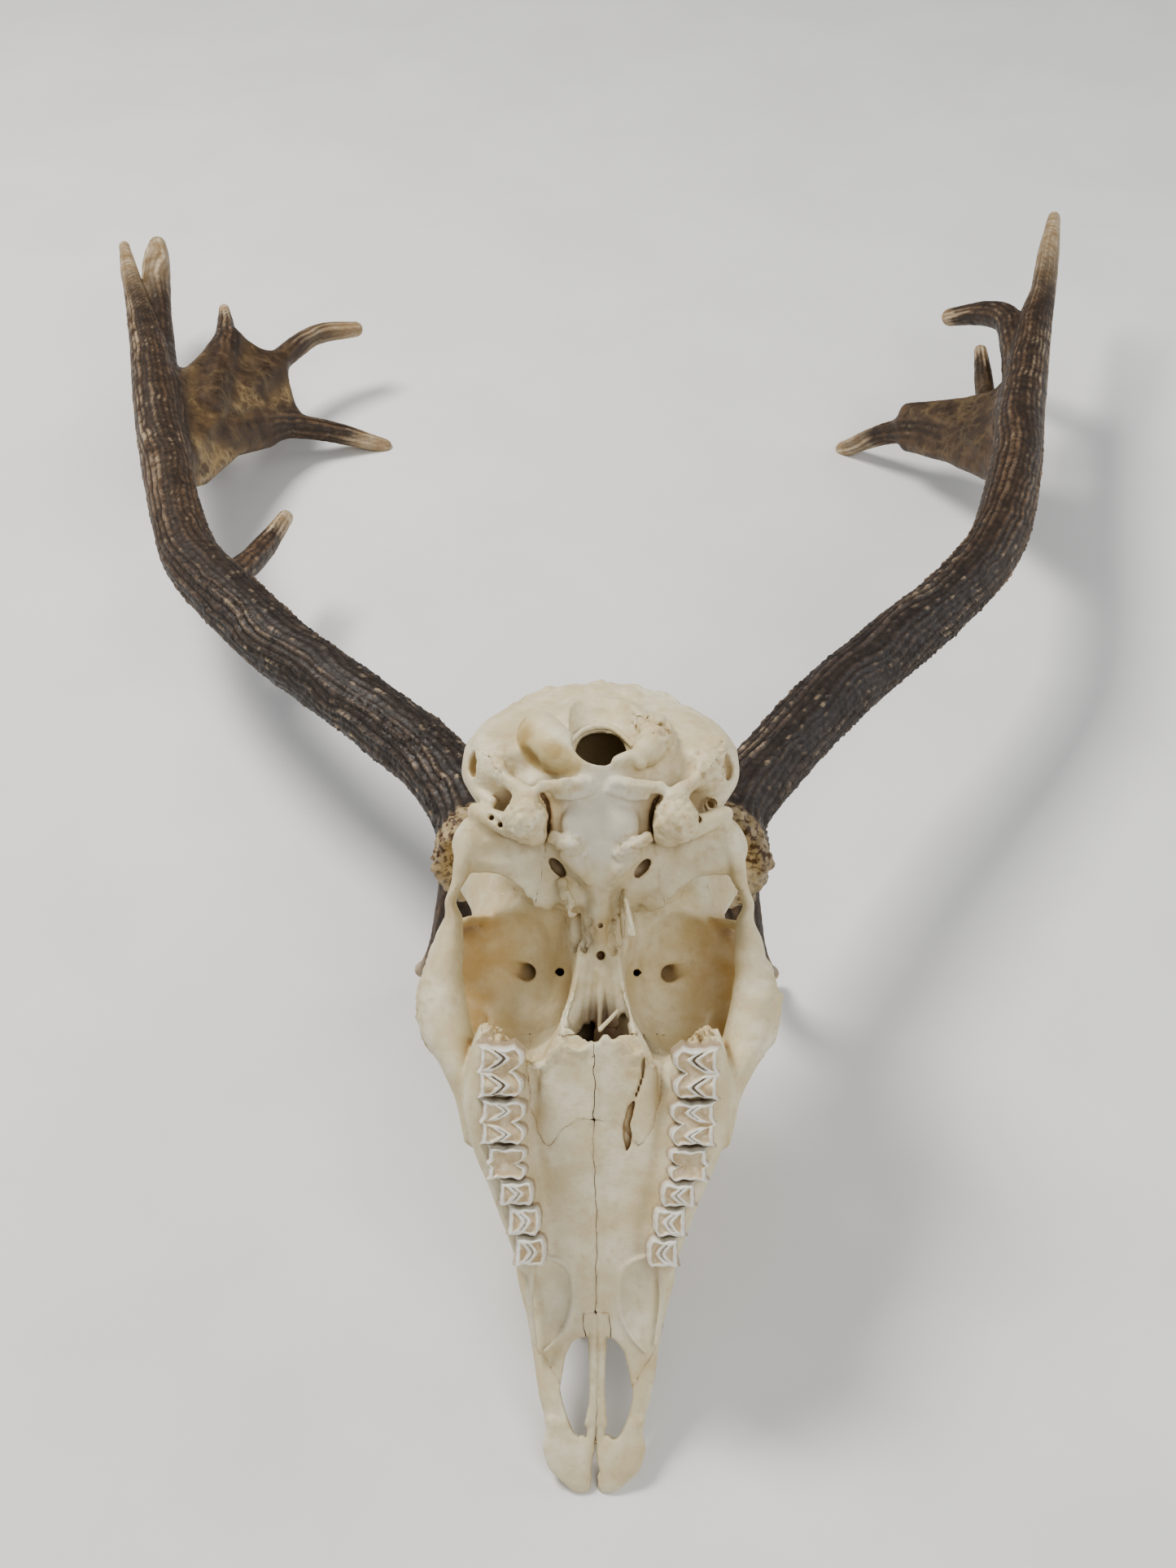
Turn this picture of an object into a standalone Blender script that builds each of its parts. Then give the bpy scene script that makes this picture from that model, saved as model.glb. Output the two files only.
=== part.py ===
"""Skull of a fallow deer buck with its antlers, lying palate up on its nose tips and two antler tines.

The skull is modelled in its own frame, in millimetres: x to the animal's right, y towards the nose (0 at the
back of the condyles) and z towards the crown (0 at the plane of the palate). It is built whole, parted into
its bones by thin cuts, and then turned over by one parent empty that carries every piece.
"""
import math

import bmesh
import bpy
from mathutils import Matrix, Vector

MM = 0.001                    # metres in a millimetre
GAP = 0.3                     # clearance between neighbouring pieces

# Driving dimensions of the skull (mm)
SKULL_LENGTH = 270.0          # condyles to the tips of the premaxillae
CRANIUM_HALF_WIDTH = 38.0     # braincase, half its width
MASTOID_HALF_WIDTH = 50.0     # widest part of the occiput, half its width
ROOF_HEIGHT = 93.0            # palate plane to the top of the braincase
NASAL_TIP = (221.0, 46.0)     # y and z of the front end of the nasal bones
NASION = (114.0, 88.0)        # y and z where nasals and frontals meet on the midline
TOOTH_ROW = (191.0, 113.0)    # y of the front and the back of the cheek teeth
CROWN_DEPTH = 9.0             # height of the cheek teeth below the palate plane
CONDYLE = (17.0, 5.0, 30.0)
FORAMEN_RADIUS = 12.5
PEDICLE_ROOT = (32.0, 68.0, 82.0)
PEDICLE_END = (46.0, 49.0, 103.0)

# How the skull rests
TILT = 48.0                   # degrees by which the nose dips, once the palate faces up
FLOOR_CUT = 1.4               # depth of the small flats where it meets the floor

# Resolution of the fused surfaces
SKULL_VOXEL = 1.7
ANTLER_VOXEL = 2.6
SKULL_TRIANGLES = 2850
ANTLER_TRIANGLES = 720

BONE_COLOUR = (0.86, 0.82, 0.73)
ANTLER_COLOUR = (0.10, 0.06, 0.035)
TINE_COLOUR = (0.35, 0.25, 0.15)


# ---------------------------------------------------------------- scene and materials

def clear_scene():
    for obj in list(bpy.data.objects):
        bpy.data.objects.remove(obj, do_unlink=True)


def new_collection(name):
    collection = bpy.data.collections.new(name)
    bpy.context.scene.collection.children.link(collection)
    return collection


def principled(name, colour, roughness):
    material = bpy.data.materials.new(name)
    material.use_nodes = True
    shader = material.node_tree.nodes["Principled BSDF"]
    shader.inputs["Base Color"].default_value = (*colour, 1.0)
    shader.inputs["Roughness"].default_value = roughness
    shader.inputs["Metallic"].default_value = 0.0
    return material


# ---------------------------------------------------------------- shapes

def mirror_x(point, side):
    return (side * point[0], point[1], point[2])


def bridge_rings(bm, rings):
    """Join rings of equally many points into one closed skin with flat ends."""
    count = len(rings[0])
    loops = [[bm.verts.new(Vector(p) * MM) for p in ring] for ring in rings]
    for first, second in zip(loops, loops[1:]):
        for i in range(count):
            j = (i + 1) % count
            bm.faces.new((first[i], first[j], second[j], second[i]))
    bm.faces.new(tuple(reversed(loops[0])))
    bm.faces.new(tuple(loops[-1]))


def loft(bm, stations, centre_x=0.0, sides=28):
    """Superellipse sections along y: (y, centre x, half width, low z, high z, squareness, taper upwards)."""
    rings = []
    for y, x, half_width, low, high, power, taper in stations:
        ring = []
        for i in range(sides):
            angle = 2 * math.pi * i / sides
            across = math.copysign(abs(math.cos(angle)) ** (2 / power), math.cos(angle))
            up = math.copysign(abs(math.sin(angle)) ** (2 / power), math.sin(angle))
            width = half_width * (1 - taper * up)
            ring.append((centre_x + x + width * across, y, (low + high) / 2 + up * (high - low) / 2))
        rings.append(ring)
    bridge_rings(bm, rings)


def ball(bm, centre, radii):
    place = Matrix.Translation(Vector(centre) * MM) @ Matrix.Diagonal((*(Vector(radii) * MM), 1.0))
    bmesh.ops.create_uvsphere(bm, u_segments=24, v_segments=16, radius=1.0, matrix=place)


def smooth_path(points, steps=5):
    """Points and radii on a Catmull-Rom curve through (x, y, z, radius) values."""
    values = [Vector(p) for p in points]
    values = [values[0] * 2 - values[1]] + values + [values[-1] * 2 - values[-2]]
    path = []
    for a, b, c, d in zip(values, values[1:], values[2:], values[3:]):
        for k in range(steps):
            t = k / steps
            path.append(0.5 * (2 * b + (c - a) * t + (2 * a - 5 * b + 4 * c - d) * t ** 2
                               + (3 * b - a - 3 * c + d) * t ** 3))
    path.append(values[-2])
    return path


def rod(bm, points, closed=False):
    """Round bar through (x, y, z, radius) points, from a curve with a bevel."""
    path = smooth_path(points + points[:1] if closed else points)
    if closed:
        path.pop()
    curve = bpy.data.curves.new("rod", "CURVE")
    curve.dimensions = "3D"
    curve.bevel_depth = MM
    curve.bevel_resolution = 3
    curve.use_fill_caps = True
    spline = curve.splines.new("POLY")
    spline.use_cyclic_u = closed
    spline.points.add(len(path) - 1)
    for point, value in zip(spline.points, path):
        point.co = (value[0] * MM, value[1] * MM, value[2] * MM, 1.0)
        point.radius = value[3]
    obj = bpy.data.objects.new("rod", curve)
    bpy.context.scene.collection.objects.link(obj)
    mesh = bpy.data.meshes.new_from_object(obj.evaluated_get(bpy.context.evaluated_depsgraph_get()))
    bpy.data.objects.remove(obj, do_unlink=True)
    bpy.data.curves.remove(curve)
    bm.from_mesh(mesh)
    bpy.data.meshes.remove(mesh)
    bmesh.ops.remove_doubles(bm, verts=bm.verts, dist=1e-7)


def web(bm, outline, half_thickness):
    """Flat plate of bone spread between the tines: an outline thickened along its own normal."""
    points = [Vector(p) for p in outline]
    middle = sum(points, Vector((0, 0, 0))) / len(points)
    normal = sum(((a - middle).cross(b - middle) for a, b in zip(points, points[1:] + points[:1])),
                 Vector((0, 0, 0))).normalized() * half_thickness
    top = [bm.verts.new((p + normal) * MM) for p in points]
    low = [bm.verts.new((p - normal) * MM) for p in points]
    top_middle = bm.verts.new((middle + normal) * MM)
    low_middle = bm.verts.new((middle - normal) * MM)
    for i in range(len(points)):
        j = (i + 1) % len(points)
        bm.faces.new((top_middle, top[i], top[j]))
        bm.faces.new((low_middle, low[j], low[i]))
        bm.faces.new((low[i], low[j], top[j], top[i]))


def slab(bm, outline, axes, low, high):
    """Prism: an outline in two of the three axes, drawn out from low to high along the third."""
    first, second = axes
    third = 3 - first - second
    loops = []
    for level in (low, high):
        loop = []
        for point in outline:
            place = [0.0, 0.0, 0.0]
            place[first], place[second] = point[:2]
            place[third] = level(*point[:2]) if callable(level) else level
            loop.append(bm.verts.new(Vector(place) * MM))
        loops.append(loop)
    count = len(outline)
    for i in range(count):
        j = (i + 1) % count
        bm.faces.new((loops[0][i], loops[0][j], loops[1][j], loops[1][i]))
    bm.faces.new(tuple(reversed(loops[0])))
    bm.faces.new(tuple(loops[1]))
    bmesh.ops.recalc_face_normals(bm, faces=bm.faces)


# ---------------------------------------------------------------- objects and modifiers

def shape(name, build, *values):
    """Object whose mesh is what build draws into an empty bmesh."""
    bm = bmesh.new()
    build(bm, *values)
    bmesh.ops.recalc_face_normals(bm, faces=bm.faces)
    mesh = bpy.data.meshes.new(name)
    bm.to_mesh(mesh)
    bm.free()
    obj = bpy.data.objects.new(name, mesh)
    bpy.context.scene.collection.objects.link(obj)
    return obj


def apply(obj, kind, **settings):
    """Add one modifier, read its result back into the object's mesh, and take it off again."""
    modifier = obj.modifiers.new(kind, kind)
    for key, value in settings.items():
        setattr(modifier, key, value)
    bpy.context.view_layer.update()
    mesh = bpy.data.meshes.new_from_object(obj.evaluated_get(bpy.context.evaluated_depsgraph_get()))
    obj.modifiers.remove(modifier)
    old = obj.data
    obj.data = mesh
    bpy.data.meshes.remove(old)


def discard(obj):
    bpy.data.objects.remove(obj, do_unlink=True)


def combine(obj, cutter, operation, keep_cutter=False):
    apply(obj, "BOOLEAN", operation=operation, object=cutter, solver="EXACT")
    if not keep_cutter:
        discard(cutter)


def fuse(obj, voxel, rounds):
    """Melt overlapping shapes into one skin and soften it."""
    apply(obj, "REMESH", mode="VOXEL", voxel_size=voxel * MM)
    apply(obj, "SMOOTH", factor=0.5, iterations=rounds)


def thin_out(obj, triangles):
    apply(obj, "TRIANGULATE")
    apply(obj, "DECIMATE", ratio=min(1.0, triangles / len(obj.data.polygons)))


def keep_largest(obj):
    """Drop the loose crumbs that a cut leaves beside the piece itself."""
    bm = bmesh.new()
    bm.from_mesh(obj.data)
    left = set(bm.verts)
    islands = []
    while left:
        stack = [left.pop()]
        island = set(stack)
        while stack:
            for edge in stack.pop().link_edges:
                for vert in edge.verts:
                    if vert not in island:
                        island.add(vert)
                        stack.append(vert)
        left -= island
        islands.append(island)
    largest = max(islands, key=len)
    loose = [vert for vert in bm.verts if vert not in largest]
    bmesh.ops.delete(bm, geom=loose, context="VERTS")
    bm.to_mesh(obj.data)
    bm.free()


def shrunk(obj, distance):
    """Copy of a region whose every wall has moved inwards by the distance."""
    copy = obj.copy()
    copy.data = obj.data.copy()
    bpy.context.scene.collection.objects.link(copy)
    bm = bmesh.new()
    bm.from_mesh(copy.data)
    bm.normal_update()
    moves = [vert.normal * vert.calc_shell_factor() * distance * MM for vert in bm.verts]
    for vert, move in zip(bm.verts, moves):
        vert.co -= move
    bm.to_mesh(copy.data)
    bm.free()
    return copy


def part_off(rest, name, region):
    """Cut the region out of rest as its own piece, and leave the gap between the two."""
    piece = rest.copy()
    piece.data = rest.data.copy()
    piece.name = name
    bpy.context.scene.collection.objects.link(piece)
    combine(piece, shrunk(region, GAP), "INTERSECT")
    combine(rest, region, "DIFFERENCE")
    keep_largest(piece)
    return piece


# ---------------------------------------------------------------- skull

def face_and_braincase(bm):
    """Muzzle, cheeks, forehead and braincase as one mass, before the openings are cut."""
    loft(bm, [  # muzzle, from the thin side walls of the nose back to the orbits
        (250, 0, 17.3, 2, 10, 2.6, 0.00), (240, 0, 20.0, 3, 16, 2.8, 0.00), (227, 0, 22.4, 5, 26, 2.8, 0.00),
        (213, 0, 24.2, 6, 38, 2.8, 0.12), (200, 0, 26.2, 5, 52, 2.6, 0.28), (186, 0, 28.5, 4, 58, 2.5, 0.30),
        (170, 0, 33.5, 4, 65, 2.4, 0.32), (155, 0, 39.0, 4, 72, 2.4, 0.34), (140, 0, 43.5, 5, 79, 2.4, 0.30),
        (125, 0, 46.5, 9, 85, 2.4, 0.16), (108, 0, 47.0, 18, 88, 2.4, 0.00)])
    loft(bm, [  # forehead, the roof of the orbits
        (134, 0, 30, 70, 84, 2.6, 0.0), (124, 0, 47, 69, 86, 3.0, 0.0), (114, 0, 56, 70, 88, 3.0, 0.0),
        (100, 0, 61, 71, 91, 2.8, 0.0), (84, 0, 60, 68, 92, 2.6, 0.0), (72, 0, 48, 60, ROOF_HEIGHT, 2.4, 0.0),
        (50, 0, 40, 50, ROOF_HEIGHT, 2.2, 0.0)])
    loft(bm, [  # back of the braincase with the nuchal plate
        (-17, 0, 14, 70, 82, 2.2, 0.0), (-11, 0, 29, 62, 84, 2.4, 0.0), (-3, 0, 43, 48, 86, 2.4, 0.0),
        (6, 0, MASTOID_HALF_WIDTH - 1, 34, 88, 2.5, 0.15), (17, 0, MASTOID_HALF_WIDTH, 28, 90, 2.4, 0.2),
        (30, 0, 45, 30, ROOF_HEIGHT, 2.3, 0.15), (46, 0, CRANIUM_HALF_WIDTH, 34, ROOF_HEIGHT, 2.2, 0.0),
        (66, 0, 30, 38, ROOF_HEIGHT, 2.2, 0.0)])
    ball(bm, (0, 30, 58), (CRANIUM_HALF_WIDTH, 42, 35))
    loft(bm, [  # base of the skull, narrowing forwards to the keel between the orbits
        (8, 0, 15, 17, 42, 2.6, 0), (20, 0, 17, 20, 44, 2.6, 0), (33, 0, 17.5, 21, 46, 2.6, 0),
        (45, 0, 14.5, 22, 48, 2.6, 0), (61, 0, 9, 25, 52, 2.6, 0), (85, 0, 8, 31, 60, 2.6, 0),
        (112, 0, 10, 34, 64, 2.6, 0)])


def side_masses(bm):
    """Paired solid masses outside the midline loft."""
    for side in (-1, 1):
        loft(bm, [  # bone that holds the cheek teeth
            (196, 22.0 * side, 5, 3, 14, 2.4, 0), (184, 24.0 * side, 7.5, 1, 22, 2.4, 0),
            (166, 29.0 * side, 10, 1, 28, 2.4, 0), (150, 33.5 * side, 12, 1, 33, 2.4, 0),
            (134, 36.5 * side, 12.5, 1, 38, 2.4, 0), (118, 36.5 * side, 10, 2, 38, 2.4, 0),
            (106, 35.0 * side, 6, 6, 34, 2.4, 0)])
        ball(bm, mirror_x((36, 16, 50), side), (14, 13, 20))
        ball(bm, mirror_x(CONDYLE, side), (11, 13, 13))
        ball(bm, mirror_x((28, 34, 23), side), (8, 10, 9))
        rod(bm, [(*mirror_x(p, side), r) for p, r in (
            ((34, 10, 36), 8), ((31, 16, 24), 6), ((26, 23, 13), 3.5))])
        rod(bm, [(*mirror_x(p, side), r) for p, r in (
            ((30, 76, 74), 17), (PEDICLE_ROOT, 16.5), (PEDICLE_END, 15.5))])


def openings(bm):
    """Every hollow that an opening of the skull shows."""
    loft(bm, [  # nasal cavity, open in front and above the side walls of the nose
        (275, 0, 15.0, 6, 60, 4, 0), (250, 0, 14.2, 7, 60, 4, 0), (238, 0, 16.2, 8, 60, 4, 0),
        (222, 0, 18.5, 9, 62, 4, 0), (206, 0, 20.0, 10, 62, 4, 0.1), (196, 0, 20.5, 11, 51, 3, 0.2),
        (180, 0, 19.0, 14, 54, 3, 0.3), (164, 0, 12.0, 22, 50, 3, 0.3)])
    ball(bm, (0, 24, 52), (20, 26, 19))                                     # hollow of the braincase
    rod(bm, [(0, -14, 17, FORAMEN_RADIUS), (0, 8, 30, FORAMEN_RADIUS), (0, 24, 44, FORAMEN_RADIUS)])
    ball(bm, (0, 96, 26), (7.5, 17, 13))                                    # inner end of the nasal passage
    for side in (-1, 1):
        ball(bm, (8.0 * side, 237, 4), (5.2, 19.5, 16))                     # palatine fissure
        ball(bm, mirror_x((32, 93, 46), side), (22.5, 29, 29))              # floor of the orbit, open below
        ball(bm, mirror_x((31, 83, 22), side), (21, 21, 26))
        ball(bm, mirror_x((52, 97, 57), side), (24, 21.5, 17.5))            # eye socket, open outwards
        ball(bm, mirror_x((56, 66, 62), side), (14, 20, 18))                # temporal fossa
        ball(bm, mirror_x((17, 206, 3), side), (6, 16, 4))                  # hollow before the premolars
        ball(bm, mirror_x((47, 135, 55), side), (5, 10, 7))                 # lacrimal pit
        ball(bm, mirror_x((24, 151, 68), side), (4.5, 13, 6))               # gap before the lacrimal
        ball(bm, mirror_x((30.5, 181, 26), side), (4, 5, 3.5))              # infraorbital foramen


def bars_and_rims(bm):
    """Slender bones that are added after the openings: arches, rims, nasals, processes and teeth."""
    loft(bm, [  # both nasal bones
        (223, 0, 9.5, 44.5, 48.0, 2.6, 0), (215, 0, 13.2, 45.5, 51.5, 2.6, 0), (196, 0, 14.5, 51, 58, 2.6, 0),
        (170, 0, 16.0, 60, 67.5, 2.6, 0), (140, 0, 16.0, 70, 79.5, 2.6, 0), (116, 0, 11.0, 78, 88.0, 2.6, 0)])
    rod(bm, [(0, 122, 34, 2.2), (0, 100, 33, 2.4), (0, 80, 34, 2.6)])
    crest = [(0, -15.5, 80), (13, -14.5, 79), (24, -12, 76), (34, -5, 71), (43, 1, 65), (47.5, 9, 56)]
    for side in (-1, 1):
        rod(bm, [(*mirror_x(p, side), 3.0) for p in crest])
        loft(bm, [  # body of the premaxilla in front of its fissure
            (246, 16.0 * side, 2.8, 2, 10, 2.4, 0), (252, 11.0 * side, 6.4, 1.5, 8, 2.6, 0),
            (258, 9.8 * side, 8.6, 0.4, 6.6, 2.6, 0), (264, 8.8 * side, 8.0, -0.4, 5.4, 2.6, 0),
            (269, 6.4 * side, 5.4, -0.6, 4.4, 2.6, 0), (SKULL_LENGTH + 3, 4.6 * side, 3.0, -0.4, 3.6, 2.4, 0)])
        rod(bm, [(2.0 * side, y, 4.4, 2.1) for y in (262, 245, 228, 212)])   # inner process
        rod(bm, [(*mirror_x(p, side), 3.6) for p in (                        # rim of the orbit
            (64, 104, 41), (59.5, 119, 44), (52.5, 125, 56), (53.5, 118, 70),
            (61, 101, 78), (62.5, 82, 72), (60, 72, 58), (62, 82, 44))], closed=True)
        loft(bm, [  # cheekbone and the arch behind it
            (152, 41.5 * side, 4, 14, 34, 2.2, 0), (136, 45.5 * side, 5.5, 15, 40, 2.2, 0),
            (124, 51.0 * side, 7.5, 18, 48, 2.2, 0), (112, 56.0 * side, 9.5, 22, 48, 2.2, 0),
            (98, 57.5 * side, 9.5, 26, 46, 2.2, 0), (84, 56.5 * side, 7.5, 30, 48, 2.2, 0),
            (70, 54.0 * side, 4.4, 33, 48, 2.2, 0), (56, 52.0 * side, 3.6, 33, 44, 2.2, 0),
            (44, 49.0 * side, 5.0, 31, 42, 2.2, 0), (34, 43.0 * side, 8, 30, 44, 2.2, 0)])
        ball(bm, mirror_x((39, 46, 38.5), side), (16, 10.5, 8))              # glenoid surface
        loft(bm, [  # upright plate beside the inner nostril, broken short
            (118, 13.0 * side, 2.2, 6, 44, 2.4, 0), (100, 12.0 * side, 2.0, 14, 44, 2.4, 0),
            (82, 10.5 * side, 2.0, 20, 44, 2.4, 0), (64, 9.5 * side, 2.0, 24, 44, 2.4, 0)])


def cheek_teeth():
    """(y, inner x, outer x, length, lobes) of the six cheek teeth, premolars first."""
    front, back = TOOTH_ROW
    lengths = (10.8, 10.5, 9.0, 12.2, 16.5, 19.0)
    inner = (17.9, 20.0, 22.4, 25.0, 25.4, 26.5)
    outer = (29.2, 31.9, 35.2, 39.4, 42.0, 43.0)
    y = front
    for index, length in enumerate(lengths):
        size = length * (front - back) / sum(lengths)
        yield y - size / 2, inner[index], outer[index], size, 1 if index < 3 else 2
        y -= size


def teeth(bm):
    for side in (-1, 1):
        for y, inner, outer, length, lobes in cheek_teeth():
            for lobe in range(lobes):
                middle = y + length * ((lobe + 0.5) / lobes - 0.5)
                centre = ((inner + outer) / 2 * side, middle, 2.0 - CROWN_DEPTH / 2)
                ball(bm, centre, ((outer - inner) / 2 + 0.3, length / lobes / 2 + 1.0, CROWN_DEPTH / 2 + 4.5))


def crown_trimmer(bm):
    slab(bm, [(-60, 80), (60, 80), (60, 205), (-60, 205)], (0, 1), -40, -CROWN_DEPTH)


def pedicle_end(bm, side, offset, length, width):
    """Block that ends at the flat where pedicle and antler part, offset along the antler's axis."""
    axis = Vector(mirror_x(BURR_AXIS, side)).normalized()
    middle = Vector(mirror_x(BURR_BASE, side)) + axis * (offset + length / 2)
    turn = axis.to_track_quat("Z", "Y").to_matrix().to_4x4()
    size = Matrix.Diagonal((width * MM, width * MM, length * MM, 1.0))
    bmesh.ops.create_cube(bm, size=1.0, matrix=Matrix.Translation(middle * MM) @ turn @ size)


def whole_skull():
    skull = shape("skull", lambda bm: (face_and_braincase(bm), side_masses(bm)))
    fuse(skull, SKULL_VOXEL, 1)
    hollows = shape("hollows", openings)
    fuse(hollows, SKULL_VOXEL, 0)
    combine(skull, hollows, "DIFFERENCE")
    details = shape("details", lambda bm: (bars_and_rims(bm), teeth(bm)))
    fuse(details, SKULL_VOXEL * 0.6, 0)
    combine(skull, details, "UNION")
    fuse(skull, SKULL_VOXEL * 0.8, 2)
    thin_out(skull, SKULL_TRIANGLES)
    combine(skull, shape("crown trimmer", crown_trimmer), "DIFFERENCE")
    return skull


# ---------------------------------------------------------------- antlers

BURR_BASE = (43.5, 50.0, 97.0)    # where the pedicle ends
BURR_AXIS = (10.0, -14.0, 19.0)   # direction in which the antler leaves it
BURR_RADIUS = 21.0
BEAM_RADIUS = 14.3


def burr(bm, side):
    """Coronet at the foot of the antler, a thick rim round the beam."""
    axis = Vector(mirror_x(BURR_AXIS, side)).normalized()
    base = Vector(mirror_x(BURR_BASE, side))
    profile = ((-4, BURR_RADIUS - 5), (0.5, BURR_RADIUS), (6, BURR_RADIUS - 1), (11, BEAM_RADIUS + 2))
    rod(bm, [(*(base + axis * along), radius) for along, radius in profile])


def left_antler(bm):
    burr(bm, -1)
    rod(bm, [(-46, 46, 101, 16), (-56, 28, 123, 15), (-74, 9, 148, BEAM_RADIUS), (-107, -15, 184, BEAM_RADIUS),
             (-141, -37, 219, 14.4), (-170, -61, 252, 14.6), (-193, -83, 284, 13.8), (-206, -106, 314, 12.8),
             (-216, -130, 344, 12.4), (-226, -156, 375, 12.2), (-236, -187, 409, 11.5),
             (-246, -216, 441, 9.5), (-257, -244, 470, 6.6), (-267, -268, 496, 5.0), (-275, -290, 522, 3.0)])
    rod(bm, [(-232, -178, 404, 10), (-237, -207, 438, 9.5), (-243, -237, 470, 8.6), (-251, -264, 500, 7.4),
             (-257, -290, 528, 5.0)])
    rod(bm, [(-208, -180, 420, 7), (-207, -205, 448, 6.5), (-208, -226, 471, 5.6), (-213, -245, 496, 3.0)])
    rod(bm, [(-192, -195, 455, 7), (-180, -213, 480, 6.4), (-162, -231, 497, 5.8), (-140, -237, 509, 4.6)])
    rod(bm, [(-205, -160, 415, 7), (-184, -171, 452, 7), (-167, -175, 468, 6.4), (-145, -173, 479, 5.6),
             (-121, -167.5, 489, 4.2)])
    web(bm, [(-216, -126, 345), (-206, -136, 384), (-195, -156, 420), (-182, -166, 452), (-172, -184, 467),
             (-180, -208, 475), (-203, -220, 466), (-216, -196, 430), (-228, -182, 404), (-223, -150, 372)], 5.0)
    web(bm, [(-226, -160, 385), (-234, -200, 425), (-240, -222, 455), (-247, -224, 450), (-238, -192, 415)], 5.0)
    rod(bm, [(-176, -64, 258, 9), (-178, -72, 278, 7.5), (-170, -84, 306, 6.6), (-164, -97, 330, 5.6),
             (-158, -111, 348, 4.0)])
    brow_tine(bm, -1)


def right_antler(bm):
    burr(bm, 1)
    rod(bm, [(46, 46, 101, 16), (55.5, 29, 123, 15), (74, 9, 148, BEAM_RADIUS), (103, -19, 186, BEAM_RADIUS),
             (136, -46, 225, BEAM_RADIUS), (165, -69, 257, 13.4), (187, -93, 287, 13.6), (200, -119, 319, 13.4),
             (209, -145, 350, 12.8), (217, -172, 383, 12.2), (226, -200, 416, 11.2), (236, -231, 450, 9.4),
             (246, -257, 477, 7.0), (254, -284, 504, 5.4), (262, -312, 530, 3.4)])
    rod(bm, [(222, -190, 415, 9), (226, -214, 441, 8.6), (226, -236, 464, 7.6), (216, -244, 480, 6.6),
             (198, -245.5, 500, 5.0)])
    rod(bm, [(206, -168, 408, 6), (207, -184, 430, 5.6), (208, -203, 446, 5.0), (208.5, -219, 460, 3.6)])
    rod(bm, [(205, -152, 385, 8), (190, -165, 420, 7), (170, -173, 448, 6.6), (154, -173, 466, 5.8),
             (137, -168.5, 489.5, 4.4)])
    web(bm, [(207, -132, 345), (200, -142, 380), (185, -156, 415), (168, -166, 447), (168, -184, 450),
             (184, -184, 438), (202, -184, 425), (222, -190, 408), (216, -162, 372)], 5.0)
    web(bm, [(218, -166, 390), (228, -205, 430), (229, -228, 457), (240, -234, 455), (230, -198, 415)], 5.0)
    brow_tine(bm, 1)


def brow_tine(bm, side):
    """First tine: it leaves above the burr, runs forwards and lifts, and stops just clear of the floor."""
    rod(bm, [(*mirror_x(p, side), r) for p, r in (
        ((52, 34, 116), 10), ((55, 52, 128), 9.4), ((59, 73, 139), 8.2), ((64, 90, 152), 6.6),
        ((70, 99, 166), 5.0), ((75, 101.5, 178), 3.4))])


def whole_antler(name, build, side):
    antler = shape(name, build)
    fuse(antler, ANTLER_VOXEL * 0.6, 3)
    thin_out(antler, ANTLER_TRIANGLES)
    combine(antler, shape("pedicle side", pedicle_end, side, -60, 60 + GAP, 120), "DIFFERENCE")
    return antler


# ---------------------------------------------------------------- parting into bones and tines

def nasal_underside(x, y):
    """z of the plane that parts the nasals from what they roof."""
    (tip_y, tip_z), (root_y, root_z) = NASAL_TIP, NASION
    return tip_z - 5.5 + (tip_y - y) * (root_z - tip_z) / (tip_y - root_y)


def lean(outline, slope):
    """Prism of an outline in x and y whose walls lean back by slope for each millimetre of height."""
    def build(bm):
        slab(bm, outline, (0, 1), -20, 90)
        for vert in bm.verts:
            vert.co.y -= slope * vert.co.z
    return build


def mirrored(outline, side):
    return [(side * point[0], point[1]) for point in outline]


def side_region(outline, side, inner, outer=90.0):
    """Prism of an outline in y and z, on one side of the skull, from x = inner outwards."""
    return lambda bm: slab(bm, outline, (1, 2), side * inner, side * outer)


# Outlines along the sutures. Where a bone meets one that is already cut off, its outline reaches into the space
# that this has left, so that no two cuts share a wall.
OCCIPITAL = [(-30, 5), (22, 5), (16, 32), (4, 50), (-6, 70), (-4, 110), (-30, 110)]                     # y, z
PARIETAL = [(-12, 60), (60, 60), (64, 64), (34, 93), (34, 130), (-12, 130)]
SPHENOID = [(-5, -6), (70, 6), (111, 14), (111, 62), (76, 59), (62, 44), (-5, 44)]
FRONTAL = [(48, 66), (62, 62.5), (76, 59), (112, 60), (124, 72), (132, 90), (132, 112), (60, 125), (20, 125),
           (20, 100)]
ZYGOMATIC = [(62, 26), (96, 14), (128, 10), (158, 20), (146, 44), (126, 44.5), (113, 46.5), (113, 66), (66, 66),
             (60, 58), (57, 42)]
LACRIMAL = [(108, 66), (108, 43), (126, 41), (150, 50), (152, 66), (138, 90), (128, 90)]
TEMPORAL = [(-40, -20), (68, -12), (68, 70), (-40, 70)]
PREMAXILLA = [(-3, 214), (4.6, 214), (4.6, 238), (12, 240), (25, 226), (34, 222), (34, 280), (-3, 280)]  # x, y
NASAL = [(-3, 230), (16, 230), (17.5, 190), (18, 140), (13, 122), (0, 113), (-3, 113)]
PALATINE = [(-3, 100), (14, 100), (22, 116), (22, 132), (15, 142), (-3, 145)]
SPHENOID_HALF_WIDTH = 21.0
ZYGOMATIC_INNER = 40.0
LACRIMAL_INNER = 24.0
PALATINE_TOP = 16.0


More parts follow.
